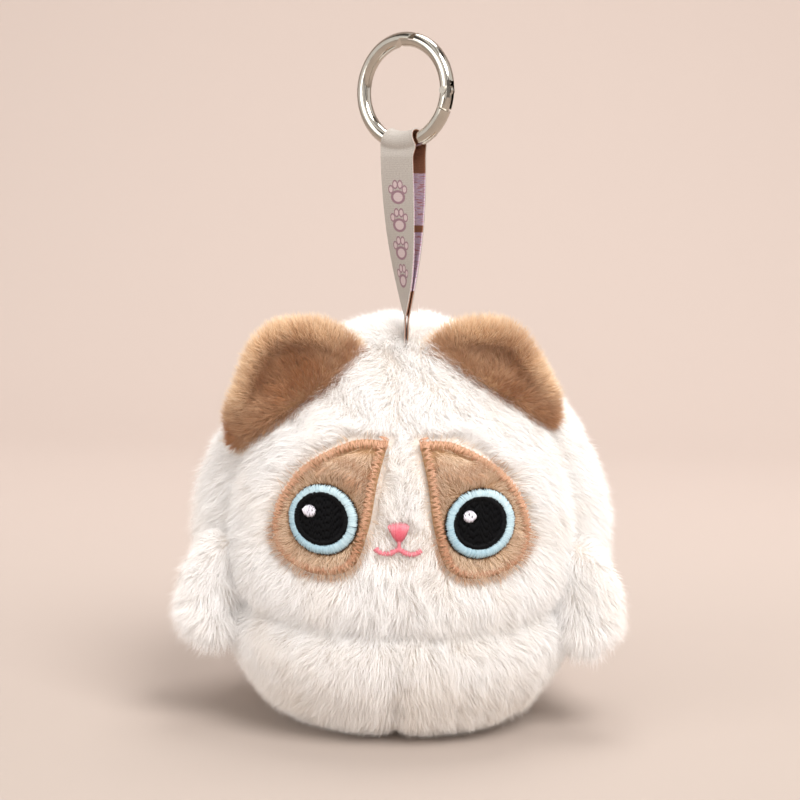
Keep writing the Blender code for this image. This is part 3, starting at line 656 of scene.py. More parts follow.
def smooth_outline(corners, steps=8):
    """A closed curve through corners given in millimetres, as an array in metres."""
    corners = np.array(corners, float) * MM
    t = np.linspace(0, 1, steps, endpoint=False)[:, None]
    return np.concatenate([
        curve(*(corners[(index + k) % len(corners)] for k in (-1, 0, 1, 2)), t)
        for index in range(len(corners))])


def smooth_line(corners, steps):
    """An open curve through corners given in millimetres, as an array in metres."""
    corners = np.array(corners, float) * MM
    t = np.linspace(0, len(corners) - 1, steps * len(corners))
    padded = np.vstack([2 * corners[0] - corners[1], corners, 2 * corners[-1] - corners[-2]])
    index = np.minimum(t.astype(int), len(corners) - 2)
    return curve(*(padded[index + k] for k in range(4)), (t - index)[:, None])


def inside(outline, places):
    """Which of the places lie inside a closed outline."""
    within = np.zeros(len(places), bool)
    x, y = places.T
    for (ax, ay), (bx, by) in zip(outline, np.roll(outline, -1, axis=0)):
        crosses = (ay > y) != (by > y)
        with np.errstate(divide="ignore", invalid="ignore"):
            within ^= crosses & (x < (bx - ax) * (y - ay) / (by - ay) + ax)
    return within


def edge_distance(outline, places):
    """Distance from an outline, and the direction away from its nearest point."""
    best = np.full(len(places), np.inf)
    away = np.zeros_like(places)
    for a, b in zip(outline, np.roll(outline, -1, axis=0)):
        run = b - a
        t = np.clip(((places - a) @ run) / (run @ run), 0, 1)
        offset = places - (a + t[:, None] * run)
        distance = np.linalg.norm(offset, axis=1)
        closer = distance < best
        best[closer] = distance[closer]
        away[closer] = offset[closer]
    return best, away / np.maximum(best, 1e-9)[:, None]


def patch_side(side):
    """The eye patch's outline on its own side."""
    outline = smooth_outline(PATCH_OUTLINE)
    outline[:, 0] *= side
    return outline


def white_comb(roots, normals):
    """The white pile lies down and outwards from the centre seam."""
    x, y, z = roots.T
    outwards = np.tanh(x / (25 * MM))
    high = smoothstep(70 * MM, 100 * MM, z)
    away = (0.2 + 0.6 * high) * np.tanh((y - SEAM_Y) / (16 * MM))
    return tangent(np.stack([0.75 * outwards, away, -1.0 + 0.4 * high], axis=1), normals)


def part_round_patches(roots, normals, front, comb, length):
    """Which roots stand clear of the eye patches. Round the patches it combs the pile away
    from the stitching and shortens it, in place."""
    places = roots[:, [0, 2]]
    keep = np.ones(len(roots), bool)
    for side in SIDES.values():
        outline = patch_side(side)
        distance, away = edge_distance(outline, places)
        near = front & (distance < 9 * MM)
        keep &= ~(front & inside(outline, places))
        keep &= ~(front & (distance < 0.8 * MM))
        push = np.zeros_like(roots)
        push[:, 0], push[:, 2] = away[:, 0], away[:, 1]
        weight = (near * np.exp(-distance / (2.6 * MM)))[:, None]
        comb[:] = tangent(comb + 3.0 * weight * push, normals)
        length *= 1 - 0.35 * weight[:, 0]
    return keep


def trim_white_pile(roots, front, length):
    """Shorter round the nose, at the seams and underneath; longer at the cheeks' sides and in
    a tuft at the crown. Works in place."""
    x, _, z = roots.T
    muzzle = front & (((x / (7.5 * MM)) ** 2 + ((z - 55 * MM) / (6.5 * MM)) ** 2) < 1)
    length[muzzle] *= 0.45
    nearest = np.min(seam_distances(roots), axis=0)
    length *= 0.84 + 0.16 * smoothstep(0, 5 * MM, nearest)
    wing = smoothstep(42 * MM, 50 * MM, np.abs(x)) * (
        1 - smoothstep(14 * MM, 30 * MM, np.abs(z - 50 * MM)))
    tuft = np.exp(-(x / (9 * MM)) ** 2) * smoothstep(92 * MM, 100 * MM, z)
    length *= (1 + 0.35 * wing) * (1 + 0.2 * tuft)
    length[z < 8 * MM] *= 0.7


def panel_kinds(roots):
    """Which roots grow on the face, on the belly and on the back."""
    x, y, z = roots.T
    slope = CHIN / (BELLY_REAR - SEAM_Y)
    rear_of_belly = z - CHIN + slope * (y - SEAM_Y) > 0
    belly = (z < chin_line(x)) & ~((y > SEAM_Y) & rear_of_belly)
    face = ~belly & (y < SEAM_Y)
    return {"face": face, "belly": belly, "back": ~belly & ~face}


def grow_white_pile(cover):
    """The body's pile, panel by panel, lying flatter towards the crown; painted shade and floor
    bounce warm it low down.
    """
    roots, normals = Skin(cover).sample(BODY_DENSITY, seed=11)
    front = roots[:, 1] < SEAM_Y
    comb = white_comb(roots, normals)
    length = np.full(len(roots), WHITE_LENGTH)
    keep = part_round_patches(roots, normals, front, comb, length)
    trim_white_pile(roots, front, length)
    # The last colour serves the broad patches and the painted shade and warm floor bounce low down.
    material = pile_finish("white_fur", rgb(0.93, 0.90, 0.875), rgb(0.96, 0.94, 0.925),
                           rgb(0.985, 0.98, 0.975), rgb(0.94, 0.86, 0.775), glow=0.03)
    x, y, z = roots.T
    for kind, region in panel_kinds(roots).items():
        for side_name, side in SIDES.items():
            chosen = np.flatnonzero(keep & region & (side * x > 0))
            parts = math.ceil(len(chosen) / STRANDS_IN_A_PIECE)
            if parts > 1:
                chosen = chosen[np.argsort(z[chosen])]
            for index, part in enumerate(np.array_split(chosen, parts)):
                label = f"{kind}_pile_{side_name}" + (f"_{index + 1}" if parts > 1 else "")
                sleek = smoothstep(66 * MM, 90 * MM, z[part]) * (1 - 0.6 * (y[part] > SEAM_Y))
                # tint below 30 mm: painted shade and painted warm bounce light from the floor.
                fur = strands(label, roots[part], normals[part], comb[part], length[part],
                              (62 - 16 * sleek, 34 - 24 * sleek), material, seed=100 + index,
                              stray=0.3, clump=0.3 * MM,
                              tint=0.65 * smoothstep(30 * MM, 4 * MM, z[part]))
                placed(fur, "plush", "white_pile",
                       *([f"{kind}_panel_{side_name}"] if index == 0 else []))


# ---- embroidered face ----------------------------------------------------------------

class Face:
    """Takes places given in X and Z back along Y to the cover's front."""

    def __init__(self, cover):
        polygons = [list(polygon.vertices) for polygon in cover.data.polygons]
        self.tree = BVHTree.FromPolygons([list(point) for point in points_of(cover)], polygons)

    def onto(self, places, lift=0.0):
        """Points at a height over the cover, and the cover's normals there."""
        points = np.empty((len(places), 3))
        normals = np.empty((len(places), 3))
        for index, (x, z) in enumerate(places):
            hit = self.tree.ray_cast(Vector((x, -0.2, z)), Vector((0, 1, 0)))
            points[index], normals[index] = hit[0], hit[1]
        return points + normals * np.reshape(lift, (-1, 1)), normals


def tube_faces(count, steps, sides):
    """Triangles of count closed tubes, each with steps rings of sides points."""
    first = (np.arange(count)[:, None] * steps + np.arange(steps - 1)) * sides
    first = first.reshape(-1, 1)
    around = np.arange(sides)
    after = (around + 1) % sides
    lower = np.stack([first + around, first + after, first + sides + after], axis=2)
    upper = np.stack([first + around, first + sides + after, first + sides + around], axis=2)
    start = (np.arange(count) * steps * sides)[:, None]
    end = start + (steps - 1) * sides
    fan = np.arange(1, sides - 1)
    cap_start = np.stack([start + 0 * fan, start + fan + 1, start + fan], axis=2)
    cap_end = np.stack([end + 0 * fan, end + fan, end + fan + 1], axis=2)
    return np.concatenate([part.reshape(-1, 3) for part in (lower, upper, cap_start, cap_end)])


def threads(name, face, paths, lifts, radius, material, seed, tint=0.0):
    """Stitched threads as closed tubes; paths is (threads, steps, X and Z)."""
    count, steps = paths.shape[:2]
    lifts = np.broadcast_to(lifts, (count, steps))
    lines, ups = face.onto(paths.reshape(-1, 2), lifts.reshape(-1))
    lines, ups = lines.reshape(count, steps, 3), ups.reshape(count, steps, 3)
    along = np.gradient(lines, axis=1)
    side = np.cross(along, ups)
    side /= np.maximum(np.linalg.norm(side, axis=2, keepdims=True), 1e-12)
    over = np.cross(side, along)
    over /= np.maximum(np.linalg.norm(over, axis=2, keepdims=True), 1e-12)
    turn = np.arange(THREAD_SIDES) * 2 * math.pi / THREAD_SIDES
    taper = np.ones(steps)
    taper[[0, -1]] = 0.35
    thick = radius * taper[None, :, None, None]
    rings = lines[:, :, None] + thick * (np.cos(turn)[:, None] * side[:, :, None]
                                         + 0.8 * np.sin(turn)[:, None] * over[:, :, None])
    mesh = array_mesh(name, rings.reshape(-1, 3), tube_faces(count, steps, THREAD_SIDES))
    mesh.shade_smooth()
    rng = np.random.default_rng(seed)
    shares = np.clip(tint + rng.uniform(0, 0.5, (count, 1)) + np.zeros((count, steps)), 0, 1)
    give(mesh, "tint", np.repeat(shares, THREAD_SIDES))
    return mesh_piece(name, mesh, material)


def arched(steps, low, high):
    """Heights along a stitch that rises from its hole and dips into the next."""
    return low + (high - low) * np.sin(np.linspace(0, math.pi, steps)) ** 0.7


def along_outline(outline, pitch):
    """Places at an even pitch round a closed outline, with the outward direction at each."""
    closed = np.vstack([outline, outline[:1]])
    runs = np.linalg.norm(np.diff(closed, axis=0), axis=1)
    total = runs.sum()
    marks = np.linspace(0, total, int(total / pitch), endpoint=False)
    grown = np.concatenate([[0], np.cumsum(runs)])
    places = np.stack([np.interp(marks, grown, closed[:, k]) for k in (0, 1)], axis=1)
    ahead = np.roll(places, -1, axis=0) - np.roll(places, 1, axis=0)
    away = unit(np.stack([ahead[:, 1], -ahead[:, 0]], axis=1))
    if not inside(outline, places[:1] - 0.5 * MM * away[:1])[0]:
        away = -away
    return places, away


def lines_between(starts, ends, steps):
    """Straight paths from starts to ends."""
    t = np.linspace(0, 1, steps)[None, :, None]
    return starts[:, None] * (1 - t) + ends[:, None] * t


def stitch_patch_edge(face, side_name, side, material):
    """A zigzag in doubled thread, in and out over the patch's edge."""
    rng = np.random.default_rng(70 + side)
    outline = patch_side(side)
    places, away = along_outline(outline, STITCH_PITCH / 2)
    places, away = places[:len(places) // 2 * 2], away[:len(places) // 2 * 2]
    outer = places[0::2] - 0.1 * MM * away[0::2]
    inner = places[1::2] - STITCH_DEPTH * away[1::2]
    jitter = 0.16 * MM
    paths = []
    for shift in (0.0, 0.14 * MM, 0.28 * MM):
        for starts, ends in ((outer, inner), (inner, np.roll(outer, -1, axis=0))):
            slide = shift * unit(np.roll(starts, -1, axis=0) - starts)
            paths.append(lines_between(starts + slide + rng.normal(0, jitter, starts.shape) * 0.6,
                                       ends + slide + rng.normal(0, jitter, ends.shape), 5))
    paths = np.concatenate(paths)
    low = smoothstep(2 * MM, -4 * MM, paths[:, :, 1].mean(1) - EYE[1])[:, None]
    lifts = arched(5, PATCH_LIFT + 0.8 * MM, PATCH_LIFT + 1.7 * MM) - 0.2 * MM * low
    piece = threads(f"patch_stitching_{side_name}", face, paths, lifts, 0.095 * MM, material,
                    seed=80 + side, tint=0.1 + 0.45 * low)
    placed(piece, "plush", "peach_thread", f"patch_stitching_{side_name}")


def disc_rows(centre, radius, pitch, stitch, rng):
    """Upright rows of a filled circle, each broken into stitches, as starts and ends."""
    starts, ends = [], []
    columns = int(2 * radius / pitch)
    for index in range(columns + 1):
        x = -radius + 2 * radius * (index + 0.5) / (columns + 1)
        reach = math.sqrt(max(radius ** 2 - x ** 2, 0))
        marks = np.arange(-reach - stitch * rng.uniform(0.2, 0.9), reach, stitch)[1:]
        marks = np.concatenate([[-reach], marks[(marks > -reach) & (marks < reach)], [reach]])
        for low, high in zip(marks, marks[1:]):
            starts.append((centre[0] + x, centre[1] + low))
            ends.append((centre[0] + x, centre[1] + high))
    return np.array(starts), np.array(ends)


def around(centre, count, inner, outer, steps, rng, jitter=0.12 * MM):
    """Radial stitches round a centre."""
    turn = np.arange(count) * 2 * math.pi / count + rng.normal(0, 0.004, count)
    heading = np.stack([np.cos(turn), np.sin(turn)], axis=1)
    starts = centre + heading * (inner + rng.normal(0, jitter, count))[:, None]
    ends = centre + heading * (outer + rng.normal(0, jitter * 0.8, count))[:, None]
    return lines_between(starts, ends, steps)


def stitch_eye(face, side_name, side, blue, black, white):
    """From below: a black bed and outline, the blue ring, the pupil in upright rows with its
    raised rim, and the glint."""
    rng = np.random.default_rng(90 + side)
    centre = np.array([side * EYE[0], EYE[1]])
    iris_out = IRIS_RADIUS + 0.25 * MM
    pupil = centre + np.array(PUPIL_OFFSET)
    base = EYE_LIFT
    outline = threads(f"eye_outline_{side_name}", face,
                      around(centre, 170, iris_out - 0.9 * MM, iris_out + 0.28 * MM, 4, rng),
                      arched(4, base - 0.5 * MM, base - 0.05 * MM), 0.15 * MM, black, seed=91 + side)
    placed(outline, "plush", "black_thread")
    rays = around(centre, 270, PUPIL_RADIUS - 0.9 * MM, iris_out, 7, rng)
    slant = (rays[:, 3] - centre) @ np.array([-0.7, -0.7]) / IRIS_RADIUS
    iris = threads(f"iris_{side_name}", face, rays,
                   arched(7, base - 0.1 * MM, base + 0.65 * MM), 0.125 * MM, blue,
                   seed=92 + side, tint=0.25 + 0.4 * slant[:, None])
    placed(iris, "plush", "blue_thread", f"iris_{side_name}")
    starts, ends = disc_rows(pupil, PUPIL_RADIUS - 0.7 * MM, 0.25 * MM, 1.8 * MM, rng)
    fill = threads(f"pupil_{side_name}", face, lines_between(starts, ends, 5),
                   arched(5, base + 0.26 * MM, base + 0.3 * MM), 0.14 * MM, black, seed=93 + side)
    placed(fill, "plush", "black_thread", f"pupil_{side_name}")
    rim = threads(f"pupil_rim_{side_name}", face,
                  around(pupil, 190, PUPIL_RADIUS - 1.7 * MM, PUPIL_RADIUS - 0.2 * MM, 6, rng),
                  arched(6, base + 0.15 * MM, base + 0.62 * MM), 0.13 * MM, black, seed=94 + side)
    placed(rim, "plush", "black_thread")
    glint_centre = centre + np.array(GLINT_OFFSET)
    starts, ends = disc_rows(glint_centre, GLINT_RADIUS, 0.2 * MM, 9 * MM, rng)
    starts = starts + rng.normal(0, 0.06 * MM, starts.shape)
    glint = threads(f"eye_glint_{side_name}", face, lines_between(starts, ends, 6),
                    arched(6, base + 0.5 * MM, base + 1.05 * MM), 0.14 * MM, white, seed=95 + side)
    placed(glint, "plush", "white_thread", f"eye_glint_{side_name}")
    bed = grid_inside(f"eye_bed_{side_name}", face, circle(centre, iris_out - 0.1 * MM, 64),
                      base - 0.25 * MM, 0.5 * MM, black)
    placed(bed, "plush", "black_thread")


def circle(centre, radius, count):
    """An outline of count points."""
    turn = np.arange(count) * 2 * math.pi / count
    return np.asarray(centre) + radius * np.stack([np.cos(turn), np.sin(turn)], axis=1)


def grid_inside(name, face, outline, lift, thickness, material, cell=1.1 * MM):
    """A thin layer of cloth inside an outline, laid on the cover at a height."""
    shape = bmesh.new()
    shape.faces.new([shape.verts.new((x, z, 0)) for x, z in outline])
    low, high = outline.min(0), outline.max(0)
    for axis in (0, 1):
        normal = Vector((1 - axis, axis, 0))
        for cut in np.arange(low[axis] + cell / 2, high[axis], cell):
            bmesh.ops.bisect_plane(shape, geom=shape.verts[:] + shape.edges[:] + shape.faces[:],
                                   plane_co=normal * cut, plane_no=normal)
    bmesh.ops.triangulate(shape, faces=shape.faces)
    mesh = bpy.data.meshes.new(name)
    shape.to_mesh(mesh)
    shape.free()
    piece = mesh_piece(name, mesh, material)
    flat = points_of(piece)[:, :2]
    points, normals = face.onto(flat, lift)
    set_points(piece, points)
    polygon = mesh.polygons[0]
    if Vector(normals[polygon.vertices[0]]).dot(polygon.normal) < 0:
        mesh.flip_normals()
    applied(piece, "SOLIDIFY", thickness=thickness, offset=-1.0)
    piece.data.shade_smooth()
    return piece


def make_patch(face, side_name, side, material):
    """The tan patch's backing and its short pile: outwards from the eye, and down from the
    top edge, so that the two meet in a brow."""
    outline = patch_side(side)
    backing = grid_inside(f"eye_patch_{side_name}_backing", face, outline, PATCH_LIFT, 0.5 * MM,
                          bpy.data.materials["tan_backing"])
    placed(backing, "plush", "tan_pile")
    rng = np.random.default_rng(120 + side)
    low, high = outline.min(0) - 1 * MM, outline.max(0) + 1 * MM
    count = int((high - low).prod() / MM ** 2 * PATCH_DENSITY)
    places = rng.uniform(low, high, (count, 2))
    distance, away = edge_distance(outline, places)
    centre = np.array([side * EYE[0], EYE[1]])
    from_eye = places - centre
    radius = np.linalg.norm(from_eye, axis=1)
    within = inside(outline, places)
    keep = (within | (distance < 0.7 * MM)) & (radius > IRIS_RADIUS + 0.05 * MM)
    stitched = (distance < STITCH_DEPTH + 0.5 * MM) & (rng.uniform(size=count) < 0.93)
    high_side = places[:, 1] > EYE[1] - 2 * MM
    keep &= ~(stitched & (high_side | (rng.uniform(size=count) < 0.72)))
    places, distance, away, from_eye, radius = (
        a[keep] for a in (places, distance, away, from_eye, radius))
    roots, normals = face.onto(places, PATCH_LIFT)
    outwards = from_eye / radius[:, None]
    rise = outwards[:, 1]
    brow_radius = IRIS_RADIUS + 5.2 * MM + 1.5 * MM * waves(roots, 14 * MM, 130 + side)[0]
    above = smoothstep(-0.6 * MM, 0.6 * MM, radius - brow_radius) * smoothstep(0.25, 0.55, rise)
    flow = outwards * (1 - above)[:, None]
    flow += above[:, None] * np.array([0.55 * side, -1.0])
    edge = np.exp(-distance / (1.2 * MM))[:, None]
    flow = unit(flow * (1 - edge) + away * edge * np.where(inside(outline, places), -1, 1)[:, None])
    comb = tangent(np.stack([flow[:, 0], np.zeros(len(flow)), flow[:, 1]], axis=1), normals)
    # brow: longer strands on the crest where the two flows meet, painted darker, partly for the
    # darker hair there and partly as painted shade in the crease.
    brow = np.exp(-((radius - brow_radius) / (1.3 * MM)) ** 2) * smoothstep(0.3, 0.6, rise)
    rust = np.exp(-distance / (2.2 * MM)) * smoothstep(1 * MM, -5 * MM, from_eye[:, 1])
    length = PATCH_LENGTH * (0.75 + 0.5 * smoothstep(0, 4 * MM, radius - IRIS_RADIUS) + 0.5 * brow)
    length *= 1 - 0.45 * edge[:, 0]
    fur = strands(f"eye_patch_{side_name}_pile", roots, normals, comb, length, (48, 22), material,
                  seed=140 + side, clump=0.35 * MM, stray=0.3,
                  tint=np.clip(0.75 * brow + 0.85 * rust, 0, 0.9))
    placed(fur, "plush", "tan_pile", f"eye_patch_{side_name}")


def stitch_nose(face, material):
    """Satin nose in upright threads, deeper in colour at its lower middle."""
    outline = smooth_outline(NOSE_OUTLINE, 6)
    starts, ends = [], []
    for x in np.arange(-3.3, 2.11, 0.26) * MM:
        levels = []
        for a, b in zip(outline, np.roll(outline, -1, axis=0)):
            if (a[0] - x) * (b[0] - x) < 0:
                levels.append(a[1] + (b[1] - a[1]) * (x - a[0]) / (b[0] - a[0]))
        if len(levels) >= 2:
            starts.append((0.9 * x, min(levels)))
            ends.append((x, max(levels)))
    paths = lines_between(np.array(starts), np.array(ends), 7)
    off_middle = np.abs(paths[:, :, 0] - MOUTH_MIDDLE) / (2.8 * MM)
    deep = smoothstep(58.6 * MM, 56.6 * MM, paths[:, :, 1]) * (1.1 - off_middle)
    nose = threads("nose", face, paths, arched(7, NOSE_LIFT - 0.4 * MM, NOSE_LIFT + 0.7 * MM),
                   0.16 * MM, material, seed=161, tint=deep)
    placed(nose, "plush", "pink_thread", "nose")


def stitch_mouth(face, material):
    """Threads across the mouth's line, and level ones up the line that joins it to the nose."""
    rng = np.random.default_rng(160)
    places, ahead = spaced(smooth_line(MOUTH_LINE, 10), 0.24 * MM)
    across = np.stack([-ahead[:, 1], ahead[:, 0]], axis=1)
    sway = rng.normal(0, 0.1 * MM, (len(places), 2))
    half = 0.72 * MM * across
    paths = lines_between(places - half + sway, places + half - sway, 5)
    down = np.arange(54.5, 52.3, -0.24) * MM
    middle = np.stack([np.full(len(down), MOUTH_MIDDLE), down], axis=1)
    reach = np.array([0.55 * MM, 0.0])
    bars = lines_between(middle - reach, middle + reach, 5)
    paths = np.concatenate([bars, paths])
    mouth = threads("mouth", face, paths, arched(5, NOSE_LIFT - 0.7 * MM, NOSE_LIFT + 0.25 * MM),
                    0.13 * MM, material, seed=162, tint=0.3)
    placed(mouth, "plush", "pink_thread", "mouth")


def spaced(line, pitch):
    """Places at an even pitch on an open line, and the way ahead at each."""
    runs = np.linalg.norm(np.diff(line, axis=0), axis=1)
    grown = np.concatenate([[0], np.cumsum(runs)])
    marks = np.arange(0, grown[-1], pitch)
    places = np.stack([np.interp(marks, grown, line[:, k]) for k in (0, 1)], axis=1)
    return places, unit(np.gradient(places, axis=0))


def make_face(cover):
    """Eye patches, eyes, nose and mouth, each in its own thread."""
    face = Face(cover)
    peach = thread_finish("peach_thread", rgb(0.74, 0.45, 0.30), rgb(0.40, 0.17, 0.08))
    blue = thread_finish("blue_thread", rgb(0.60, 0.74, 0.77), rgb(0.24, 0.40, 0.49))
    black = thread_finish("black_thread", rgb(0.002, 0.002, 0.003), rgb(0.006, 0.006, 0.006), 0.1)
    white = thread_finish("white_thread", rgb(0.80, 0.78, 0.84), rgb(0.66, 0.62, 0.72))
    pink = thread_finish("pink_thread", rgb(0.80, 0.34, 0.38), rgb(0.62, 0.07, 0.115))
    # The patch pile's last colour gives the rust tint near the lower stitching and the brow's dark
    # tint, which is partly painted shade.
    fibre = pile_finish("patch_fur", rgb(0.50, 0.31, 0.17), rgb(0.84, 0.64, 0.44),
                        rgb(0.97, 0.85, 0.69), rgb(0.42, 0.17, 0.06), glow=0.02)
    for side_name, side in SIDES.items():
        make_patch(face, side_name, side, fibre)
        stitch_patch_edge(face, side_name, side, peach)
        stitch_eye(face, side_name, side, blue, black, white)
    stitch_nose(face, pink)
    stitch_mouth(face, pink)


# ---- ears and paws -------------------------------------------------------------------

def slab(name, outline, thickness, rim):
    """A soft cushion on an outline in its own X and Y, with its edge rounded off."""
    count = len(outline)
    shape = bmesh.new()
    corners = [shape.verts.new((x, y, z)) for z in (-thickness / 2, thickness / 2)
               for x, y in outline]
    shape.faces.new(corners[:count][::-1])
    shape.faces.new(corners[count:])
    for index in range(count):
        after = (index + 1) % count
        shape.faces.new((corners[index], corners[after], corners[count + after],
                         corners[count + index]))
    bmesh.ops.recalc_face_normals(shape, faces=shape.faces)
    mesh = bpy.data.meshes.new(name)
    shape.to_mesh(mesh)
    shape.free()
    skin = mesh_piece(name, mesh, None)
    applied(skin, "REMESH", mode="VOXEL", voxel_size=1.3 * MM)
    inflate(skin, np.zeros(len(skin.data.vertices)), pressure=2.0, cap=0.8 * MM)
    points = points_of(skin)
    depth = edge_distance(outline, points[:, :2])[0] * inside(outline, points[:, :2])
    points[:, 2] *= np.sqrt(np.clip(1 - (1 - np.clip(depth / rim, 0, 1)) ** 2, 0.02, 1))
    set_points(skin, points)
    return skin, points, depth


def ear_frame(side_name, side):
    """The ear's own placement: along its base's chord, up, and out of its front."""
    joint = JOINTS[f"ear_flex_{side_name}"]
    along = side * Vector(joint["axis"]).normalized()
    up = Vector((side * EAR_UP.x, EAR_UP.y, EAR_UP.z))
    up = (up - up.dot(along) * along).normalized()
    out = side * along.cross(up)
    origin = Vector(joint["pos_m"]) - EAR_AXIS_LIFT * up
    return np.array([along, up, -out if out.y > 0 else out]), np.array(origin)


def ear_skin(side_name, side):
    """A padded flap with a fat rim and a dished front, bent round the head."""
    outline = smooth_outline(EAR_OUTLINE, 4) * np.array(EAR_SCALE[side_name])
    centre = outline.mean(0)
    outline = centre + (outline - centre) * EAR_SHRINK
    skin, points, depth = slab(f"ear_{side_name}_backing", outline, EAR_THICK, 2.4 * MM)
    upper = smoothstep(-2 * MM, 5 * MM, points[:, 1])
    points[:, 2] -= EAR_DISH * smoothstep(2.5 * MM, 7 * MM, depth) * upper
    reach = np.abs(outline[:, 0]).max()
    bulge = EAR_BULGE - EAR_BULGE_LOSS * points[:, 1] / outline[:, 1].max()
    points[:, 2] += bulge * (1 - (points[:, 0] / reach) ** 2)
    axes, origin = ear_frame(side_name, side)
    set_points(skin, origin + points @ axes)
    if np.linalg.det(axes) < 0:
        skin.data.flip_normals()
    applied(skin, "SUBSURF", levels=1, render_levels=1)
    skin.data.shade_smooth()
    return skin, outline


def make_ears():
    """Tan ears: a pale rim round the top, and painted shade darkening the hollow towards the foot in
    front.
    """
    backing = backing_finish("tan_backing", rgb(0.45, 0.27, 0.14), rgb(0.38, 0.22, 0.11))
    fibre = pile_finish("tan_fur", rgb(0.44, 0.24, 0.11), rgb(0.84, 0.58, 0.35),
                        rgb(0.98, 0.83, 0.60), rgb(0.36, 0.13, 0.035), glow=0.02)
    for side_name, side in SIDES.items():
        skin, outline = ear_skin(side_name, side)
        skin.data.materials.append(backing)
        placed(skin, f"ear_{side_name}", "tan_pile")
        roots, normals = Skin(skin).sample(EAR_DENSITY, seed=31 + side)
        axes, origin = ear_frame(side_name, side)
        local = (roots - origin) @ axes.T
        front = smoothstep(-0.1, 0.4, normals @ axes[2])
        edge = edge_distance(outline, local[:, :2])[0]
        spread = local - np.array([-1 * MM, -9 * MM, 0])
        spread[:, 2] = 0
        comb = tangent((spread / (16 * MM)) @ axes + 0.3 * axes[1], normals)
        foot = 1 - smoothstep(-1 * MM, 7 * MM, local[:, 1])
        # hollow: shorter pile, and painted shade that darkens the pile there through its tint.
        hollow = front * np.maximum(smoothstep(2.5 * MM, 6 * MM, edge), foot)
        length = TAN_LENGTH * (1.05 - 0.3 * hollow)
        fur = strands(f"ear_{side_name}_pile", roots, normals, comb, length, (68, 48), fibre,
                      seed=41 + side, stray=0.6, tint=0.9 * hollow, clump=0.3 * MM)
        placed(fur, f"ear_{side_name}", "tan_pile",
               f"ear_front_{side_name}", f"ear_back_{side_name}")


def make_paws():
    """Mitten flaps with longer, clumped pile that hangs down and out."""
    backing = bpy.data.materials["white_backing"]
    fibre = bpy.data.materials["white_fur"]
    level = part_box("paw_front_left")[1].y
    for side_name, side in SIDES.items():
        outline = smooth_outline(PAW_OUTLINE, 4)
        centre = outline.mean(0)
        outline = centre + (outline - centre) * 0.8
        skin, points, _ = slab(f"paw_{side_name}_backing", outline, PAW_THICK, 3.0 * MM)
        set_points(skin, np.stack([side * points[:, 0], level - points[:, 2], points[:, 1]],
                                  axis=1))
        if side < 0:
            skin.data.flip_normals()
        applied(skin, "SUBSURF", levels=1, render_levels=1)
        skin.data.shade_smooth()
        skin.data.materials.append(backing)
        placed(skin, f"paw_{side_name}", "white_pile")
        roots, normals = Skin(skin).sample(1.2 * BODY_DENSITY, seed=51 + side)
        x, _, z = roots.T
        fan = side * np.clip((np.abs(x) - 44 * MM) / (14 * MM), 0, 1)
        comb = tangent(np.stack([0.8 * fan, np.zeros_like(x), -np.ones_like(x)], axis=1), normals)
        length = WHITE_LENGTH * (1.0 + 0.25 * smoothstep(40 * MM, 28 * MM, z))
        fur = strands(f"paw_{side_name}_pile", roots, normals, comb, length, (55, 24), fibre,
                      seed=61 + side, clump=0.9 * MM, stray=0.3)
        placed(fur, f"paw_{side_name}", "white_pile",
               f"paw_front_{side_name}", f"paw_back_{side_name}")


# ---- ribbon and ring -----------------------------------------------------------------

def ribbon_finish():
    """Cream woven ribbon with fine ribs, a row of outlined paw prints on its face, and a brown
    reverse crossed by lilac and pink floats."""
    finish = Finish("woven_ribbon", roughness=0.7, Specular_IOR_Level=0.35)
    across, run, level = (finish.attribute(name) for name in ("across", "run", "level"))
    reverse = finish.attribute("reverse")
    weave = finish.node("ShaderNodeCombineXYZ", None, {"X": across * 2.0, "Y": run * 9.0})
    yarn = finish.between(finish.noise(1.0, 2.0, weave), 0.35, 0.65)
    face = finish.mix(yarn, rgb(0.36, 0.325, 0.29), rgb(0.46, 0.42, 0.38))
    along = run.math("MODULO", PRINT_PITCH) - PRINT_PITCH / 2
    pads = None
    for lift, aside, high, wide in PRINT_PADS:
        pad = (((along - lift) / high) ** 2 + ((across - aside) / wide) ** 2).math("SQRT")
        pads = pad if pads is None else pads.math("MINIMUM", pad)
    first, last = PRINT_PITCH * 1.0, PRINT_PITCH * 5.0
    printed = finish.between(run, first, first + 0.1) * (1 - finish.between(run, last, last + 0.1))
    fill = (1 - finish.between(pads, 0.72, 0.85)) * printed
    line = (1 - finish.between(pads, 1.12, 1.28)) * printed
    face = finish.mix(line, face, rgb(0.27, 0.16, 0.19))
    face = finish.mix(fill, face, rgb(0.54, 0.43, 0.43))
    floats = finish.node("ShaderNodeCombineXYZ", None, {"X": across * 0.4, "Y": run * 3.2})
    lilac = finish.ramp(finish.noise(1.0, 2.0, floats),
                        [(0.0, rgb(0.36, 0.27, 0.42)), (0.42, rgb(0.46, 0.34, 0.47)),
                         (0.52, rgb(0.60, 0.49, 0.54)), (0.60, rgb(0.40, 0.17, 0.19)),
                         (1.0, rgb(0.42, 0.22, 0.27))])
    gap = finish.between(level, 22.0, 22.3) * (1 - finish.between(level, 23.8, 24.1))
    floated = finish.between(level, 7.0, 7.4) * (1 - finish.between(level, 37.0, 37.4)) * (1 - gap)
    back = finish.mix(floated, finish.mix(yarn, rgb(0.19, 0.075, 0.04), rgb(0.28, 0.12, 0.065)),
                      lilac)
    finish.colour(finish.mix(finish.between(reverse, 0.4, 0.6), face, back))
    finish.bump(yarn, 0.35, 0.05 * MM)
    return finish.material


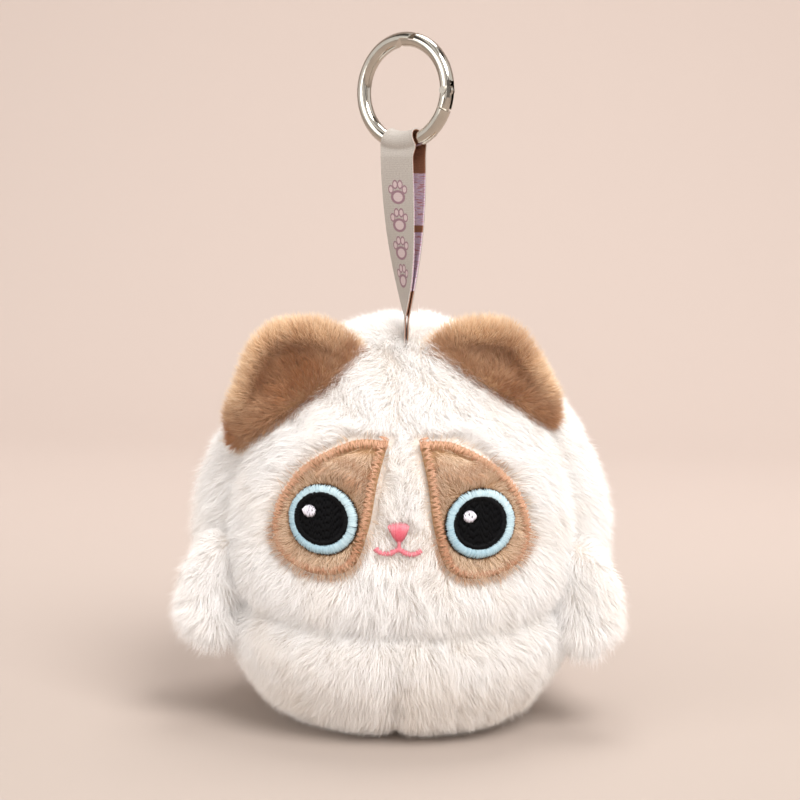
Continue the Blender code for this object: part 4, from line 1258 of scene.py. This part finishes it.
def leg_grid(heights, side, columns):
    """One leg's middle surface; side is 1 in front of the other leg, and -1 behind it."""
    t = heights[:, None]
    turn = math.pi / 2 + (RING_TURN - math.pi / 2) * (1 - (1 - t) ** 2.2)
    zero = np.zeros_like(t)
    wide = np.stack([np.cos(turn), -np.sin(turn), zero], axis=2)
    out = np.stack([-np.sin(turn), -np.cos(turn), zero], axis=2)
    offset = RIBBON_PITCH + (RIBBON_SPREAD - RIBBON_PITCH) * smoothstep(0.1, 1.0, t)
    foot = np.array([0, SEAM_Y, RIBBON_FOOT])
    head = np.array([RING_CENTRE[0], RING_CENTRE[1], RIBBON_HEAD])
    middle = foot + (head - foot) * t[:, :, None]
    return middle + side * offset[:, :, None] * out + wide * columns[None, :, None]


def bight_grid(turns, columns):
    """The fold round the wire's inner side, from its front to its back."""
    angle = math.radians(270) + columns[None, :] / RING_RADIUS
    ray = (np.cos(angle)[:, :, None] * RING_ACROSS
           + np.sin(angle)[:, :, None] * np.array([0, 0, 1.0]))
    round_wire = (np.cos(turns)[:, None, None] * RING_FRONT - np.sin(turns)[:, None, None] * ray)
    return RING_CENTRE + RING_RADIUS * ray + RIBBON_SPREAD * round_wire


def fine_rows(grid):
    """A grid's rows, three to a rib and with their corners eased, and how far along each is."""
    steps = np.linalg.norm(np.diff(grid[:, grid.shape[1] // 2], axis=0), axis=1)
    run = np.concatenate([[0], np.cumsum(steps)])
    marks = np.arange(0, run[-1], RIB_PITCH / 3)
    fine = np.stack([[np.interp(marks, run, grid[:, c, k]) for k in range(3)]
                     for c in range(grid.shape[1])]).transpose(2, 0, 1)
    reach = 7
    window = np.hanning(2 * reach + 1)
    window = window / window.sum()
    padded = np.concatenate([np.repeat(fine[:1], reach, 0), fine, np.repeat(fine[-1:], reach, 0)])
    smooth = sum(weight * padded[k:k + len(fine)] for k, weight in enumerate(window))
    smooth[:reach], smooth[-reach:] = fine[:reach], fine[-reach:]
    return smooth, marks


def strip(name, grid, columns, finish, outward):
    """A woven strip of even thickness on a grid of places, with ribs and beaded edges."""
    smooth, marks = fine_rows(grid)
    up = np.gradient(smooth, axis=0)
    over = unit(np.cross(np.gradient(smooth, axis=1), up).reshape(-1, 3)).reshape(smooth.shape)
    over *= outward
    rib = RIB_HEIGHT * np.cos(2 * math.pi * marks / RIB_PITCH)[:, None]
    edge = smoothstep(0.9, 0.96, np.abs(columns) / columns.max())[None, :]
    bead = BEAD_HEIGHT * np.abs(np.sin(math.pi * marks / (1.6 * RIB_PITCH)))[:, None]
    thick = RIBBON_THICKNESS / 2 + rib * (1 - edge) + bead * edge
    rows, count = smooth.shape[:2]
    points = np.concatenate([(smooth + over * thick[:, :, None]).reshape(-1, 3),
                             (smooth - over * thick[:, :, None]).reshape(-1, 3)])
    index = np.arange(rows * count).reshape(rows, count)
    quads = [np.stack([index[:-1, :-1], index[1:, :-1], index[1:, 1:], index[:-1, 1:]], axis=2)]
    quads.append(quads[0][:, :, ::-1] + rows * count)
    under = index + rows * count
    for line, far in ((index[:, 0], under[:, 0]), (index[::-1, -1], under[::-1, -1]),
                      (index[0, ::-1], under[0, ::-1]), (index[-1], under[-1])):
        quads.append(np.stack([line[:-1], far[:-1], far[1:], line[1:]], axis=1)[None])
    quads = np.concatenate([quad.reshape(-1, 4) for quad in quads])
    mesh = array_mesh(name, points, quads)
    shape = bmesh.new()
    shape.from_mesh(mesh)
    bmesh.ops.recalc_face_normals(shape, faces=shape.faces)
    shape.to_mesh(mesh)
    shape.free()
    mesh.shade_smooth()
    give(mesh, "across", np.tile(columns / MM, 2 * rows))
    give(mesh, "run", np.tile(np.repeat(marks / MM, count), 2))
    give(mesh, "level", (points[:, 2] - RIBBON_FOOT) / MM)
    give(mesh, "reverse", np.repeat([0.0, 1.0], rows * count))
    return mesh_piece(name, mesh, finish)


def make_ribbon():
    """The loop, from the crown round the ring's wire and back, and its two sewn-in ends."""
    finish = ribbon_finish()
    columns = np.array([-1, -0.97, -0.93, -0.88, -0.7, -0.5, -0.25, 0, 0.25, 0.5, 0.7, 0.88, 0.93,
                        0.97, 1]) * RIBBON_WIDTH / 2
    heights = np.linspace(0, 1, 90)
    turns = np.radians(np.linspace(-38, 218, 60))
    grid = np.concatenate([leg_grid(heights, 1, columns), bight_grid(turns, columns),
                           leg_grid(heights[::-1], -1, columns)])
    ribbon = strip("ribbon_loop", grid, columns, finish, 1)
    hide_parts("strap_leg_front", "strap_leg_back", "strap_bight")
    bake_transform(ribbon)
    levels = np.linspace(RIBBON_END, RIBBON_FOOT + 0.4 * MM, 12)
    for label, side in (("front", 1), ("back", -1)):
        foot = np.stack([np.full((len(levels), len(columns)), -side * RIBBON_PITCH),
                         np.tile(SEAM_Y - columns, (len(levels), 1)),
                         np.tile(levels[:, None], (1, len(columns)))], axis=2)
        root = strip(f"ribbon_root_{label}", foot, columns, finish, side)
        placed(root, "plush", "ribbon", *(["strap_root"] if side == 1 else []))


def polish(node):
    """Shades the round faces of a ring part as true wire, and its cut faces flat."""
    piece = bpy.data.objects[node]
    mesh = piece.data
    matrix = np.array(piece.matrix_world)
    places = points_of(piece) @ matrix[:3, :3].T + matrix[:3, 3]
    offset = places - RING_CENTRE
    flat = offset - (offset @ RING_FRONT)[:, None] * RING_FRONT
    spoke = unit(flat)
    away = offset - RING_RADIUS * spoke
    on_wire = np.abs(np.linalg.norm(away, axis=1) - WIRE_RADIUS) < 0.08 * MM
    away = unit(away)
    turned = np.linalg.inv(matrix[:3, :3])
    loops = []
    for polygon in mesh.polygons:
        facing = matrix[:3, :3] @ np.array(polygon.normal)
        corners = list(polygon.vertices)
        wire = on_wire[corners].all() and (away[corners] @ facing > 0.86).all()
        loops += [turned @ (away[corner] if wire else facing) for corner in corners]
    mesh.shade_smooth()
    mesh.normals_split_custom_set(loops)


def make_ring():
    """Finishes for the ring, its gate and rivet, and the spring inside the gate."""
    nickel = Finish("polished_nickel", roughness=0.12, Metallic=1.0)
    wear = nickel.noise(420.0, 3.0)
    nickel.colour(nickel.mix(wear, rgb(0.46, 0.425, 0.37), rgb(0.58, 0.54, 0.475)))
    nickel.rough(0.08 + wear * 0.1)
    steel = Finish("spring_steel", roughness=0.3, Metallic=1.0)
    grain = steel.noise(3000.0, 2.0)
    steel.colour(steel.mix(grain, rgb(0.42, 0.41, 0.40), rgb(0.56, 0.55, 0.53)))
    for node, material in (("ring_arc", nickel.material), ("ring_gate", nickel.material),
                           ("hinge_pin", nickel.material), ("gate_spring", steel.material)):
        bpy.data.objects[node].material_slots[0].material = material
    polish("ring_arc")
    polish("ring_gate")


place_camera()
make_backdrop()
light_studio()
cover = make_cover()
make_filling()
grow_white_pile(cover)
make_ears()
make_face(cover)
make_paws()
make_ribbon()
make_ring()
